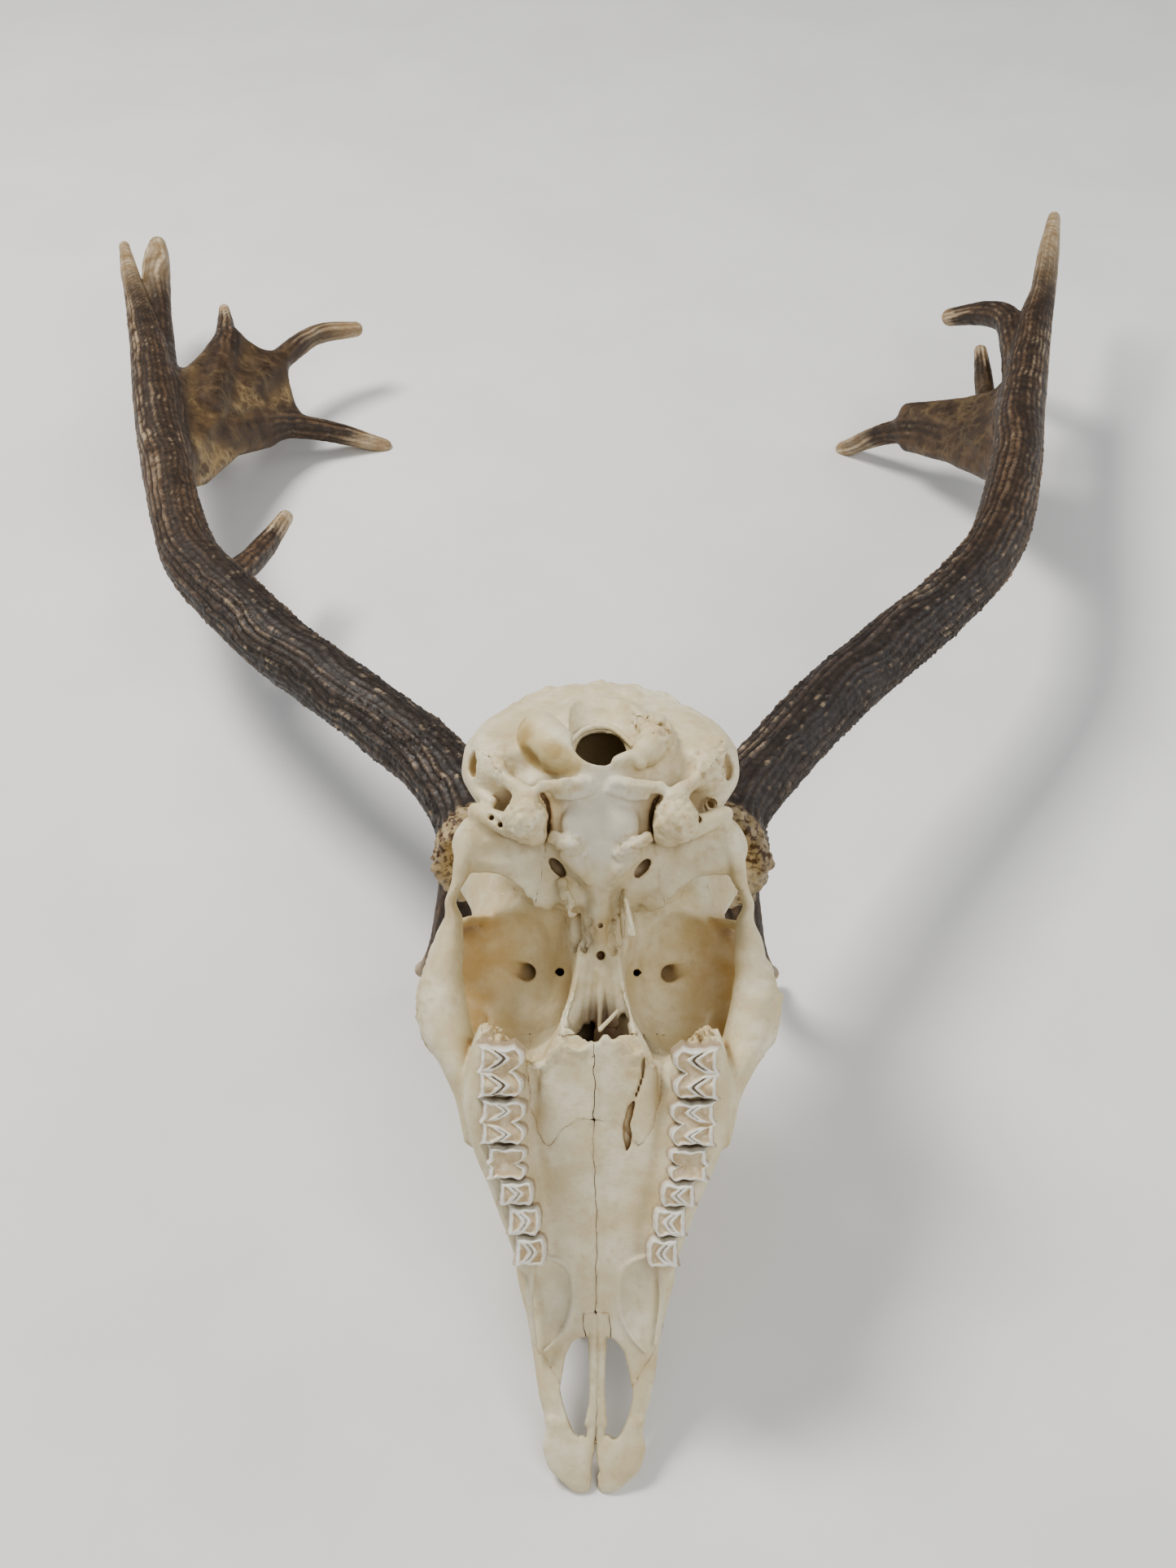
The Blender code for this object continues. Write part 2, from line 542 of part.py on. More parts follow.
def part_skull(skull):
    """Cut the whole skull along its sutures: first the bones that span the midline, then each half's own."""
    pieces = [
        part_off(skull, "occipital", shape("region", side_region(OCCIPITAL, 1, -90))),
        part_off(skull, "parietal", shape("region", side_region(PARIETAL, 1, -90))),
        part_off(skull, "sphenoid", shape("region", side_region(
            SPHENOID, 1, -SPHENOID_HALF_WIDTH, SPHENOID_HALF_WIDTH)))]
    half = part_off(skull, "left half", shape("region", side_region(
        [(-60, -60), (300, -60), (300, 150), (-60, 150)], -1, 0)))
    for word, side, rest in (("left", -1, half), ("right", 1, skull)):
        outlines = [mirrored(outline, side) for outline in (PREMAXILLA, NASAL, PALATINE)]
        regions = (
            ("nasal_", lambda bm: slab(bm, outlines[1], (0, 1), nasal_underside, 110.0)),
            ("premaxilla_", lean(outlines[0], 0.75)),
            ("frontal_", side_region(FRONTAL, side, -5)),
            ("zygomatic_", side_region(ZYGOMATIC, side, ZYGOMATIC_INNER)),
            ("lacrimal_", side_region(LACRIMAL, side, LACRIMAL_INNER)),
            ("temporal_", side_region(TEMPORAL, side, -5)),
            ("palatine_", lambda bm: slab(bm, outlines[2], (0, 1), -14.0, PALATINE_TOP)))
        pieces += [part_off(rest, name + word, shape("region", region)) for name, region in regions]
        keep_largest(rest)
        rest.name = "maxilla_" + word
        pieces.append(rest)
    return pieces


def fork_block(point, direction, size, reach):
    """Block that takes a tine off: its near face stands at the fork, square to the tine."""
    def build(bm):
        axis = Vector(direction).normalized()
        middle = Vector(point) + axis * reach / 2
        turn = axis.to_track_quat("Z", "Y").to_matrix().to_4x4()
        scale = Matrix.Diagonal((size * MM, size * MM, reach * MM, 1.0))
        bmesh.ops.create_cube(bm, size=1.0, matrix=Matrix.Translation(middle * MM) @ turn @ scale)
    return build


LEFT_FORKS = (  # name, where the tine starts, its direction, width of the block, reach
    ("brow_tine_left", (-56, 54, 129), (-2, 20, 13), 46, 90),
    ("trez_tine_left", (-177, -74, 283), (7, -10, 27), 34, 100),
    ("tine_a_left", (-250, -222, 447), (-12, -28, 30), 26, 130),
    ("tine_b_left", (-239.5, -217, 450), (-6, -28, 30), 26, 130),
    ("tine_c_left", (-207, -216, 460), (-1, -22, 25), 28, 70),
    ("tine_d_left", (-184, -206, 471), (14, -18, 20), 30, 90),
    ("tine_e_left", (-179, -172, 457), (20, -4, 18), 32, 100))
RIGHT_FORKS = (
    ("brow_tine_right", (56, 54, 129), (2, 20, 13), 46, 90),
    ("tine_a_right", (240, -240, 459), (9, -27, 27), 24, 130),
    ("tine_b_right", (214, -226, 455), (-3, -20, 22), 50, 90),
    ("tine_c_right", (207, -188, 434), (0, -19, 17), 16, 50),
    ("tine_e_right", (176, -170, 441), (-20, -6, 28), 34, 100))
LEFT_PALM = ((-212, -113, 325), (-8, -24, 29), 260, 300)
RIGHT_PALM = ((204, -125, 327), (9, -26, 31), 260, 300)


def part_antler(antler, word, forks, palm):
    pieces = []
    for name, point, direction, size, reach in forks:
        pieces.append(part_off(antler, name, shape("region", fork_block(point, direction, size, reach))))
    pieces.append(part_off(antler, "palm_" + word, shape("region", fork_block(*palm))))
    keep_largest(antler)
    antler.name = "beam_" + word
    pieces.append(antler)
    return pieces


# ---------------------------------------------------------------- resting pose

def resting_turn():
    """Turn the skull palate up with its nose down, and set the box's bottom centre on the origin later."""
    return Matrix.Rotation(math.radians(180.0 + TILT), 4, "X")


def world_points(pieces, turn):
    return [turn @ vert.co for piece in pieces for vert in piece.data.vertices]


def lay_down(pieces, collection):
    """Turn all pieces over, trim flats where they meet the floor, and hang them on one empty."""
    turn = resting_turn()
    resting = [p for p in pieces if p.name.startswith(("premaxilla", "tine_e"))]
    level = max(min(point.z for point in world_points([piece], turn)) for piece in resting) + FLOOR_CUT * MM
    for piece in resting:
        def below(bm):
            bmesh.ops.create_cube(bm, size=1.0, matrix=turn.inverted() @ Matrix.Translation((0, 0, level - 0.05))
                                  @ Matrix.Diagonal((1.2, 2.0, 0.1, 1.0)))
        combine(piece, shape("floor", below), "DIFFERENCE")
        keep_largest(piece)
    points = world_points(pieces, turn)
    low = [min(p[i] for p in points) for i in range(3)]
    high = [max(p[i] for p in points) for i in range(3)]
    carrier = bpy.data.objects.new("resting_pose", None)
    collection.objects.link(carrier)
    carrier.matrix_world = Matrix.Translation((-(low[0] + high[0]) / 2, -(low[1] + high[1]) / 2, -low[2])) @ turn
    for piece in pieces:
        piece.parent = carrier


def finish(pieces, collection):
    for piece in pieces:
        for old in list(piece.users_collection):
            old.objects.unlink(piece)
        collection.objects.link(piece)
        colour = BONE_COLOUR
        if piece.name.startswith(("beam", "palm")):
            colour = ANTLER_COLOUR
        elif "tine" in piece.name.split("_"):
            colour = TINE_COLOUR
        piece.data.materials.clear()
        piece.data.materials.append(principled(piece.name, colour, 0.6))
        piece.data.shade_smooth()
        piece.data.set_sharp_from_angle(angle=math.radians(40))


def main():
    clear_scene()
    collection = new_collection("deer_skull")
    skull = whole_skull()
    for side in (-1, 1):
        combine(skull, shape("antler side", pedicle_end, side, 0, 60, 44), "DIFFERENCE")
    pieces = part_skull(skull)
    left = whole_antler("antler_left", left_antler, -1)
    right = whole_antler("antler_right", right_antler, 1)
    pieces += part_antler(left, "left", LEFT_FORKS, LEFT_PALM)
    pieces += part_antler(right, "right", RIGHT_FORKS, RIGHT_PALM)
    lay_down(pieces, collection)
    finish(pieces, collection)


main()
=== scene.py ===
"""Looks of a fallow deer buck's skull with its antlers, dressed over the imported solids.

Bones, teeth and antlers are sculpted as signed distances on fine grids, in the skull's own frame in
millimetres: x to the animal's right, y towards the nose, z towards the crown, with 0 at the back of the
condyles and at the plane of the palate. Each grid is skinned, roughened and laid down in the resting pose.
"""
import math
from functools import partial

import bpy
import numpy as np
from mathutils import Matrix, Vector


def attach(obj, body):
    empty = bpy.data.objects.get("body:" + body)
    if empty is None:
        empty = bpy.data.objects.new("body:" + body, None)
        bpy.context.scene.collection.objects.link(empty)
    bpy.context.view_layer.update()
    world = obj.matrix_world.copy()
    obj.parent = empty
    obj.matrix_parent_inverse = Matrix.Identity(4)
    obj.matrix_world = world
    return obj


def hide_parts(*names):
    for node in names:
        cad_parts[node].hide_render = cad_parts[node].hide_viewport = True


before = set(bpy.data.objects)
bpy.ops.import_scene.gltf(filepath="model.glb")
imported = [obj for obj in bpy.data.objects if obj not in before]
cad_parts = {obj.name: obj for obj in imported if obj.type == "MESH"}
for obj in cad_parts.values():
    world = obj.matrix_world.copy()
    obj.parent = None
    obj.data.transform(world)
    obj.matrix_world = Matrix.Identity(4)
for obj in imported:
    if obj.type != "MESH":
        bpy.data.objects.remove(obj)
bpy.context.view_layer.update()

MM = 0.001
FAR = 40.0                    # distance stored where no shape reaches
BONE_PITCH = 0.8              # grid step of the skull
TOOTH_PITCH = 0.42
ANTLER_PITCH = 1.1
SEARCH_ROOM = 10.0            # how far from a bar or plate its distances are worked out
PLAIN_SECTION = (2.2, 0)      # squareness and taper of a section that doesn't give its own
LOFT_END_BLEND = 3.0
BURR_ROOM = 40                # half the block in which an antler's foot is cut flat

# Resting pose: palate up, nose dipped by the tilt, then moved to the frame's origin
TILT = 48.0
SKULL_ORIGIN = (0.006414, -0.209669, 0.20322)
RESTING = Matrix.Translation(SKULL_ORIGIN) @ Matrix.Rotation(math.radians(180.0 + TILT), 4, "X")


# ---------------------------------------------------------------- repeatable noise

def lattice(cell, seed):
    """A repeatable number from 0 to 1 for each lattice cell."""
    n = cell[:, 0].astype(np.uint32) * np.uint32(374761393)
    n ^= cell[:, 1].astype(np.uint32) * np.uint32(668265263)
    n ^= cell[:, 2].astype(np.uint32) * np.uint32(2246822519)
    n ^= np.uint32(seed * 974634777 % 4294967291)
    n ^= n >> np.uint32(15)
    n *= np.uint32(2246822519)
    n ^= n >> np.uint32(13)
    n *= np.uint32(3266489917)
    n ^= n >> np.uint32(16)
    return n.astype(np.float32) / np.float32(4294967296.0)


def noise(points, size, seed=0):
    """Smooth noise from -1 to 1 whose features are about size across."""
    q = points / np.float32(size)
    cell = np.floor(q)
    f = (q - cell).astype(np.float32)
    f = f * f * (3 - 2 * f)
    cell = cell.astype(np.int64)
    total = np.zeros(len(points), np.float32)
    for corner in range(8):
        step = np.array([corner & 1, corner >> 1 & 1, corner >> 2 & 1])
        weight = np.prod(np.where(step, f, 1 - f), axis=1)
        total += weight * lattice(cell + step, seed)
    return 2 * total - 1


def fbm(points, size, octaves=3, seed=0):
    """Noise with ever finer noise of half the strength laid over it."""
    total = np.zeros(len(points), np.float32)
    for octave in range(octaves):
        total += 0.5 ** octave * noise(points, size / 2.03 ** octave, seed + 17 * octave)
    return total


def creases(points, size, octaves=2, seed=0):
    """Sharp valleys at 0 between rounded swellings at 1."""
    total = np.zeros(len(points), np.float32)
    for octave in range(octaves):
        total += 0.5 ** octave * np.abs(noise(points, size / 2.1 ** octave, seed + 29 * octave))
    return np.clip(total * 1.4, 0, 1)


def spots(points, size, seed=0):
    """Distance to the nearest of many scattered points, in units of size."""
    q = points / np.float32(size)
    base = np.floor(q - 0.5).astype(np.int64)
    nearest = np.full(len(points), 9.0, np.float32)
    for corner in range(8):
        cell = base + np.array([corner & 1, corner >> 1 & 1, corner >> 2 & 1])
        offset = np.stack([lattice(cell, seed + k) for k in range(3)], axis=1)
        centre = cell + 0.15 + 0.7 * offset
        nearest = np.minimum(nearest, np.sqrt(((q - centre) ** 2).sum(axis=1)))
    return nearest


def step_up(value, low, high):
    """0 below low, 1 above high and smooth between them."""
    t = np.clip((value - low) / (high - low), 0, 1)
    return t * t * (3 - 2 * t)


# ---------------------------------------------------------------- shapes as signed distances

def largest(*values):
    most = values[0]
    for value in values[1:]:
        most = np.maximum(most, value)
    return most


def smooth_min(a, b, blend):
    """The lesser of two distances, rounded off where they differ by less than the blend."""
    h = np.maximum(blend - np.abs(a - b), 0)
    return np.minimum(a, b) - h * h / (4 * blend)


class Shape:
    """A distance function with the box outside which it isn't needed."""

    def __init__(self, low, high, distance):
        self.low = np.array(low, np.float32)
        self.high = np.array(high, np.float32)
        self.distance = distance


def smooth_path(points, steps=4, closed=False):
    """Rows on a Catmull-Rom curve through rows of values."""
    rows = np.array(points, np.float32)
    if closed:
        rows = np.vstack([rows[-1:], rows, rows[:2]])
    else:
        rows = np.vstack([2 * rows[:1] - rows[1:2], rows, 2 * rows[-1:] - rows[-2:-1]])
    path = []
    for a, b, c, d in zip(rows, rows[1:], rows[2:], rows[3:]):
        for k in range(steps):
            t = k / steps
            path.append(0.5 * (2 * b + (c - a) * t + (2 * a - 5 * b + 4 * c - d) * t ** 2
                               + (3 * b - a - 3 * c + d) * t ** 3))
    path.append(rows[-2])
    return np.array(path, np.float32)


def ball(centre, radii):
    """Ellipsoid along the three axes."""
    cx, cy, cz = centre
    rx, ry, rz = radii

    def distance(x, y, z):
        a, b, c = x - cx, z - cz, y - cy
        k0 = np.sqrt((a / rx) ** 2 + (c / ry) ** 2 + (b / rz) ** 2)
        k1 = np.sqrt((a / rx ** 2) ** 2 + (c / ry ** 2) ** 2 + (b / rz ** 2) ** 2)
        return k0 * (k0 - 1) / np.maximum(k1, 1e-5)

    return Shape(np.array(centre) - radii, np.array(centre) + radii, distance)


def spans(axes, low, high):
    """Slices of three rising axes between two corners, or None where nothing lies between them."""
    found = []
    for axis, first, last in zip(axes, low, high):
        start, stop = np.searchsorted(axis, (first, last))
        if stop <= start:
            return None
        found.append(slice(start, stop))
    return tuple(found)


def nearest_of(parts, x, y, z):
    """Least distance to any part, each worked out only in the block round it: (low, high, distance) each."""
    out = np.full((x.shape[0], y.shape[1], z.shape[2]), FAR, np.float32)
    for low, high, distance in parts:
        block = spans((x[:, 0, 0], y[0, :, 0], z[0, 0, :]), low - SEARCH_ROOM, high + SEARCH_ROOM)
        if block is not None:
            close = distance(x[block[0]], y[:, block[1]], z[:, :, block[2]])
            out[block] = np.minimum(out[block], close)
    return out


def cone_distance(a, b, x, y, z):
    """Distance to a bar that runs straight from a to b, each (x, y, z, radius)."""
    along = b[:3] - a[:3]
    px, py, pz = x - a[0], y - a[1], z - a[2]
    t = np.clip((px * along[0] + py * along[1] + pz * along[2]) / max(float(along @ along), 1e-6), 0, 1)
    gap = np.sqrt((px - t * along[0]) ** 2 + (py - t * along[1]) ** 2 + (pz - t * along[2]) ** 2)
    return gap - (a[3] + t * (b[3] - a[3]))


def rod(points, closed=False):
    """Round bar through rows of (x, y, z, radius)."""
    path = smooth_path(points, closed=closed)
    parts = [(np.minimum(a, b)[:3] - max(a[3], b[3]), np.maximum(a, b)[:3] + max(a[3], b[3]),
              partial(cone_distance, a, b)) for a, b in zip(path, path[1:])]
    widest = path[:, 3].max()
    low, high = path[:, :3].min(axis=0) - widest, path[:, :3].max(axis=0) + widest
    return Shape(low, high, partial(nearest_of, parts))


def plate(outline, half_thickness):
    """Sheet of bone: a fan of triangles round the outline's middle, each as thick as asked."""
    points = np.array(outline, np.float32)
    corners = [np.array((points.mean(axis=0), a, b)) for a, b in zip(points, np.roll(points, -1, axis=0))]
    parts = [(three.min(axis=0) - half_thickness, three.max(axis=0) + half_thickness,
              partial(triangle_distance, three, half_thickness)) for three in corners]
    return Shape(points.min(axis=0) - half_thickness, points.max(axis=0) + half_thickness,
                 partial(nearest_of, parts))


def triangle_distance(corners, half_thickness, x, y, z):
    """Distance to a flat triangle of some thickness."""
    normal = np.cross(corners[1] - corners[0], corners[2] - corners[0])
    inside = True
    edges = FAR * FAR
    for a, b in zip(corners, np.roll(corners, -1, axis=0)):
        along = b - a
        side = np.cross(along, normal)
        px, py, pz = x - a[0], y - a[1], z - a[2]
        inside = inside & (px * side[0] + py * side[1] + pz * side[2] <= 0)
        t = np.clip((px * along[0] + py * along[1] + pz * along[2]) / float(along @ along), 0, 1)
        gap = (px - t * along[0]) ** 2 + (py - t * along[1]) ** 2 + (pz - t * along[2]) ** 2
        edges = np.minimum(edges, gap)
    a = corners[0]
    height = (x - a[0]) * normal[0] + (y - a[1]) * normal[1] + (z - a[2]) * normal[2]
    flat = height ** 2 / float(normal @ normal)
    return np.sqrt(np.where(inside, flat, edges)) - half_thickness


def glide(at, places, values):
    """Cubic interpolation of values over places, without overshoot."""
    places, values = np.array(places, np.float32), np.array(values, np.float32)
    steps = np.diff(places)
    slopes = np.diff(values) / steps
    tangent = np.zeros(len(values), np.float32)
    product, total = slopes[:-1] * slopes[1:], slopes[:-1] + slopes[1:]
    tangent[1:-1] = np.where(product > 0, 2 * product / np.where(total == 0, 1, total), 0)
    tangent[0], tangent[-1] = slopes[0], slopes[-1]
    i = np.clip(np.searchsorted(places, at) - 1, 0, len(steps) - 1)
    t = np.clip((at - places[i]) / steps[i], 0, 1)
    return (values[i] * (1 + 2 * t) * (1 - t) ** 2 + tangent[i] * steps[i] * t * (1 - t) ** 2
            + values[i + 1] * t * t * (3 - 2 * t) - tangent[i + 1] * steps[i] * t * t * (1 - t))


def loft(stations):
    """Superellipse sections along y: (y, centre x, half width, low z, high z, squareness, taper upwards).

    A row without its last values is as square as an ellipse nearly is and doesn't taper.
    """
    rows = np.array([row + PLAIN_SECTION[len(row) - 5:] for row in sorted(stations)], np.float32)
    ys = rows[:, 0]

    def distance(x, y, z):
        at = y[0, :, 0]
        values = [glide(at, ys, rows[:, k])[None, :, None] for k in range(1, 7)]
        centre, half, low, high, power, taper = values
        mid, tall = (low + high) / 2, (high - low) / 2
        up = np.clip((z - mid) / tall, -1, 1)
        width = half * (1 - taper * up)
        u = np.abs(x - centre) / width
        v = np.abs(z - mid) / tall
        k = np.maximum((u ** power + v ** power) ** (1 / power), 1e-4)
        slope = np.sqrt(((u / k) ** (power - 1) / width) ** 2 + ((v / k) ** (power - 1) / tall) ** 2)
        section = (k - 1) / np.maximum(slope, 1e-5)
        ends = np.maximum(ys[0] - y, y - ys[-1])
        return -smooth_min(-section, -ends, LOFT_END_BLEND)

    wide = rows[:, 2] * (1 + np.abs(rows[:, 6]))
    low = (float((rows[:, 1] - wide).min()), ys[0], rows[:, 3].min())
    high = (float((rows[:, 1] + wide).max()), ys[-1], rows[:, 4].max())
    return Shape(low, high, distance)


class Field:
    """Signed distances in millimetres on a regular grid, negative inside the material."""

    def __init__(self, low, high, pitch):
        self.pitch = pitch
        self.side = 1
        self.low = np.array(low, np.float32)
        ends = zip(low, high)
        self.axes = [np.arange(first, last + pitch, pitch, dtype=np.float32) for first, last in ends]
        self.d = np.full([len(axis) for axis in self.axes], FAR, np.float32)

    def halves(self):
        """Turns the grid to the left half and then to the right, so that one set of shapes makes both."""
        for self.side in (-1, 1):
            yield self.side

    def coords(self, block):
        x, y, z = (axis[span] for axis, span in zip(self.axes, block))
        return x[:, None, None], y[None, :, None], z[None, None, :]

    def around(self, shape, blend):
        """The block of the grid that a shape can change, and its distances there."""
        low, high = shape.low - blend - 2.5 * self.pitch, shape.high + blend + 2.5 * self.pitch
        if self.side > 0:
            block = spans(self.axes, low, high)
            return block, shape.distance(*self.coords(block))
        low[0], high[0] = -high[0], -low[0]
        block = spans(self.axes, low, high)
        x, y, z = self.coords(block)
        return block, shape.distance(-x[::-1], y, z)[::-1]

    def join(self, shape, blend=2.0):
        block, distances = self.around(shape, blend)
        self.d[block] = smooth_min(self.d[block], distances, blend)

    def cut(self, shape, blend=1.5):
        block, distances = self.around(shape, blend)
        self.d[block] = -smooth_min(-self.d[block], distances, blend)


# ---------------------------------------------------------------- skin of a grid

CORNERS = np.array([(i & 1, i >> 1 & 1, i >> 2 & 1) for i in range(8)])
EDGES = [(a, b) for a in range(8) for b in range(a + 1, 8) if (CORNERS[a] != CORNERS[b]).sum() == 1]


def skin(d, low, pitch):
    """Vertices and quads of the surface where d is 0, one vertex in each grid cell that it crosses."""
    inside = d < 0
    core = [slice(None, -1), slice(1, None)]
    count = np.zeros([n - 1 for n in d.shape], np.uint8)
    for corner in CORNERS:
        count += inside[tuple(core[c] for c in corner)]
    active = (count > 0) & (count < 8)
    cells = np.argwhere(active)
    index = np.full(active.shape, -1, np.int32)
    index[active] = np.arange(len(cells))
    total = np.zeros((len(cells), 3), np.float32)
    hits = np.zeros(len(cells), np.float32)
    values = [d[tuple((cells + corner).T)] for corner in CORNERS]
    for a, b in EDGES:
        crossed = (values[a] < 0) != (values[b] < 0)
        t = values[a][crossed] / (values[a][crossed] - values[b][crossed])
        total[crossed] += CORNERS[a] + t[:, None] * (CORNERS[b] - CORNERS[a])
        hits[crossed] += 1
    points = low + pitch * (cells + total / hits[:, None])
    quads = []
    for axis in range(3):
        others = [k for k in range(3) if k != axis]
        first = [slice(1, -1)] * 3
        second = [slice(1, -1)] * 3
        first[axis], second[axis] = slice(None, -1), slice(1, None)
        start, stop = inside[tuple(first)], inside[tuple(second)]
        edge = np.argwhere(start != stop)
        flip = start[tuple(edge.T)]
        edge[:, others] += 1
        ring = []
        for da, db in ((1, 1), (0, 1), (0, 0), (1, 0)):
            cell = edge.copy()
            cell[:, others[0]] -= da
            cell[:, others[1]] -= db
            ring.append(index[tuple(cell.T)])
        quad = np.stack(ring, axis=1)
        turn = flip if axis != 1 else ~flip
        quad[~turn] = quad[~turn][:, ::-1]
        quads.append(quad)
    return points.astype(np.float32), np.concatenate(quads)


def drop_crumbs(points, quads, least):
    """Leave out loose islands with fewer vertices than least."""
    label = np.arange(len(points))
    while True:
        lowest = label[quads].min(axis=1)
        new = label.copy()
        for k in range(4):
            np.minimum.at(new, quads[:, k], lowest)
        new = new[new]
        if (new == label).all():
            break
        label = new
    size = np.bincount(label, minlength=len(points))
    keep = size[label] >= least
    if keep.all():
        return points, quads
    renumber = np.cumsum(keep) - 1
    return points[keep], renumber[quads[keep[quads[:, 0]]]]


def normals_of(points, quads):
    """Unit normals of the vertices, in which large quads count for more."""
    a, b, c, e = (points[quads[:, k]] for k in range(4))
    cross = np.cross(c - a, e - b)
    out = np.zeros_like(points)
    for axis in range(3):
        out[:, axis] = sum(np.bincount(quads[:, k], cross[:, axis], len(points)) for k in range(4))
    return out / np.maximum(np.linalg.norm(out, axis=1, keepdims=True), 1e-9)


# ---------------------------------------------------------------- outlines

def outline_distance(outline, a, b):
    """Signed distance in a plane to a closed outline of (a, b) points, negative inside."""
    nearest = np.full(np.broadcast(a, b).shape, FAR * FAR, np.float32)
    inside = np.zeros(nearest.shape, bool)
    for (a0, b0), (a1, b1) in zip(outline, outline[1:] + outline[:1]):
        da, db = a1 - a0, b1 - b0
        t = np.clip(((a - a0) * da + (b - b0) * db) / (da * da + db * db), 0, 1)
        nearest = np.minimum(nearest, (a - a0 - t * da) ** 2 + (b - b0 - t * db) ** 2)
        if db:
            inside ^= ((b0 > b) != (b1 > b)) & (a < a0 + da * (b - b0) / db)
    nearest = np.sqrt(nearest)
    return np.where(inside, -nearest, nearest)


def prism(outline, low, high):
    """Block over an outline seen from below, from low to high."""
    corners = np.array(outline)

    def distance(x, y, z):
        return np.maximum(outline_distance(outline, x, y), np.maximum(low - z, z - high))

    return Shape((*corners.min(axis=0), low), (*corners.max(axis=0), high), distance)


def oval(centre, long, short, turn, count=16):
    """Outline of an ellipse with the given half axes, turned by turn degrees."""
    cos, sin = math.cos(math.radians(turn)), math.sin(math.radians(turn))
    rounds = [2 * math.pi * k / count for k in range(count)]
    return [(centre[0] + long * cos * math.cos(t) - short * sin * math.sin(t),
             centre[1] + long * sin * math.cos(t) + short * cos * math.sin(t)) for t in rounds]


def scatter(field, low, high, count, sizes, seed):
    """Many small pits at repeatable random places near the surface inside a box."""
    rng = np.random.default_rng(seed)
    made = 0
    for _ in range(count * 30):
        if made == count:
            break
        place = rng.uniform(low, high)
        radius = rng.uniform(*sizes)
        cell = tuple(int(round(v)) for v in (place - field.low) / field.pitch)
        if abs(field.d[cell]) <= radius * 0.6:
            field.cut(ball(place, (radius, radius * rng.uniform(0.8, 1.3), radius)), 0.8)
            made += 1


# ---------------------------------------------------------------- skull

FISSURE_LEFT = [
    (-2.4, 216.5), (-3.6, 218.9), (-5, 218.2), (-8.4, 220.2), (-10.5, 225), (-11.3, 230), (-12.5, 237.3),
    (-11.5, 242.1), (-9.5, 248), (-7.5, 252.3), (-5.6, 253.6), (-4.1, 252.8), (-4, 250.6), (-3, 246),
    (-2.2, 242), (-2.2, 229.5), (-2.6, 221)]
FISSURE_RIGHT = [
    (3.4, 216.4), (4.4, 219.1), (5.8, 218.6), (8, 220.5), (10.4, 223.8), (11.8, 229.6), (13.6, 238.6),
    (12.6, 244.7), (10.2, 250.7), (8.5, 253.4), (6.6, 254.2), (4.8, 252.6), (4, 246), (3.5, 237),
    (3.5, 229.4), (4, 221)]
PALATE_MARGIN = [
    (-40, 119), (-29.5, 118.5), (-25.6, 121), (-22.3, 122.2), (-18.8, 121), (-17.9, 116.5), (-13.2, 113),
    (-9.4, 115), (-5.9, 115.4), (-3, 113), (-0.4, 113.4), (1.2, 110.8), (3.3, 110.1), (5, 112.4),
    (7.5, 111.4), (10, 113), (12.7, 116.2), (16.4, 116.9), (18, 120.6), (22, 121.6), (25.8, 120.6),
    (29.5, 117.5), (40, 118), (40, 92), (-40, 92)]
PALATE_GAP = [
    (13.4, 133), (10.7, 136), (10, 139.5), (9.2, 142), (9.3, 147), (10.5, 152.4), (11.8, 149.4),
    (12.2, 146), (11.4, 142.4), (12.6, 138.5)]
# Free front edge of the skull base, from the cheek arch to the midline, closed over the eye socket
SHELF_EDGE = [
    (54, 63.4), (52, 60.7), (49.4, 57.4), (46.1, 54.9), (41.9, 54.1), (36.6, 55.2), (31.2, 58.4),
    (28.4, 60.4), (27, 63.6), (25.2, 63.2), (24.2, 67.4), (21.8, 67), (20.4, 68.6), (18.4, 68.8),
    (17.8, 72), (16.6, 67), (15, 65.4), (13.6, 66.6), (12.6, 69.4), (10.6, 69.2), (9.4, 71.6), (7, 69),
    (6, 84), (54, 84)]
# Open floor of the socket beside the inner nostril, behind the palate
SOCKET_FRONT = [
    (13.6, 108), (17.4, 115), (20, 120.4), (24, 121.6), (28, 119.4), (31, 115.6), (34.4, 110), (37.4, 102),
    (38, 92), (14, 92)]


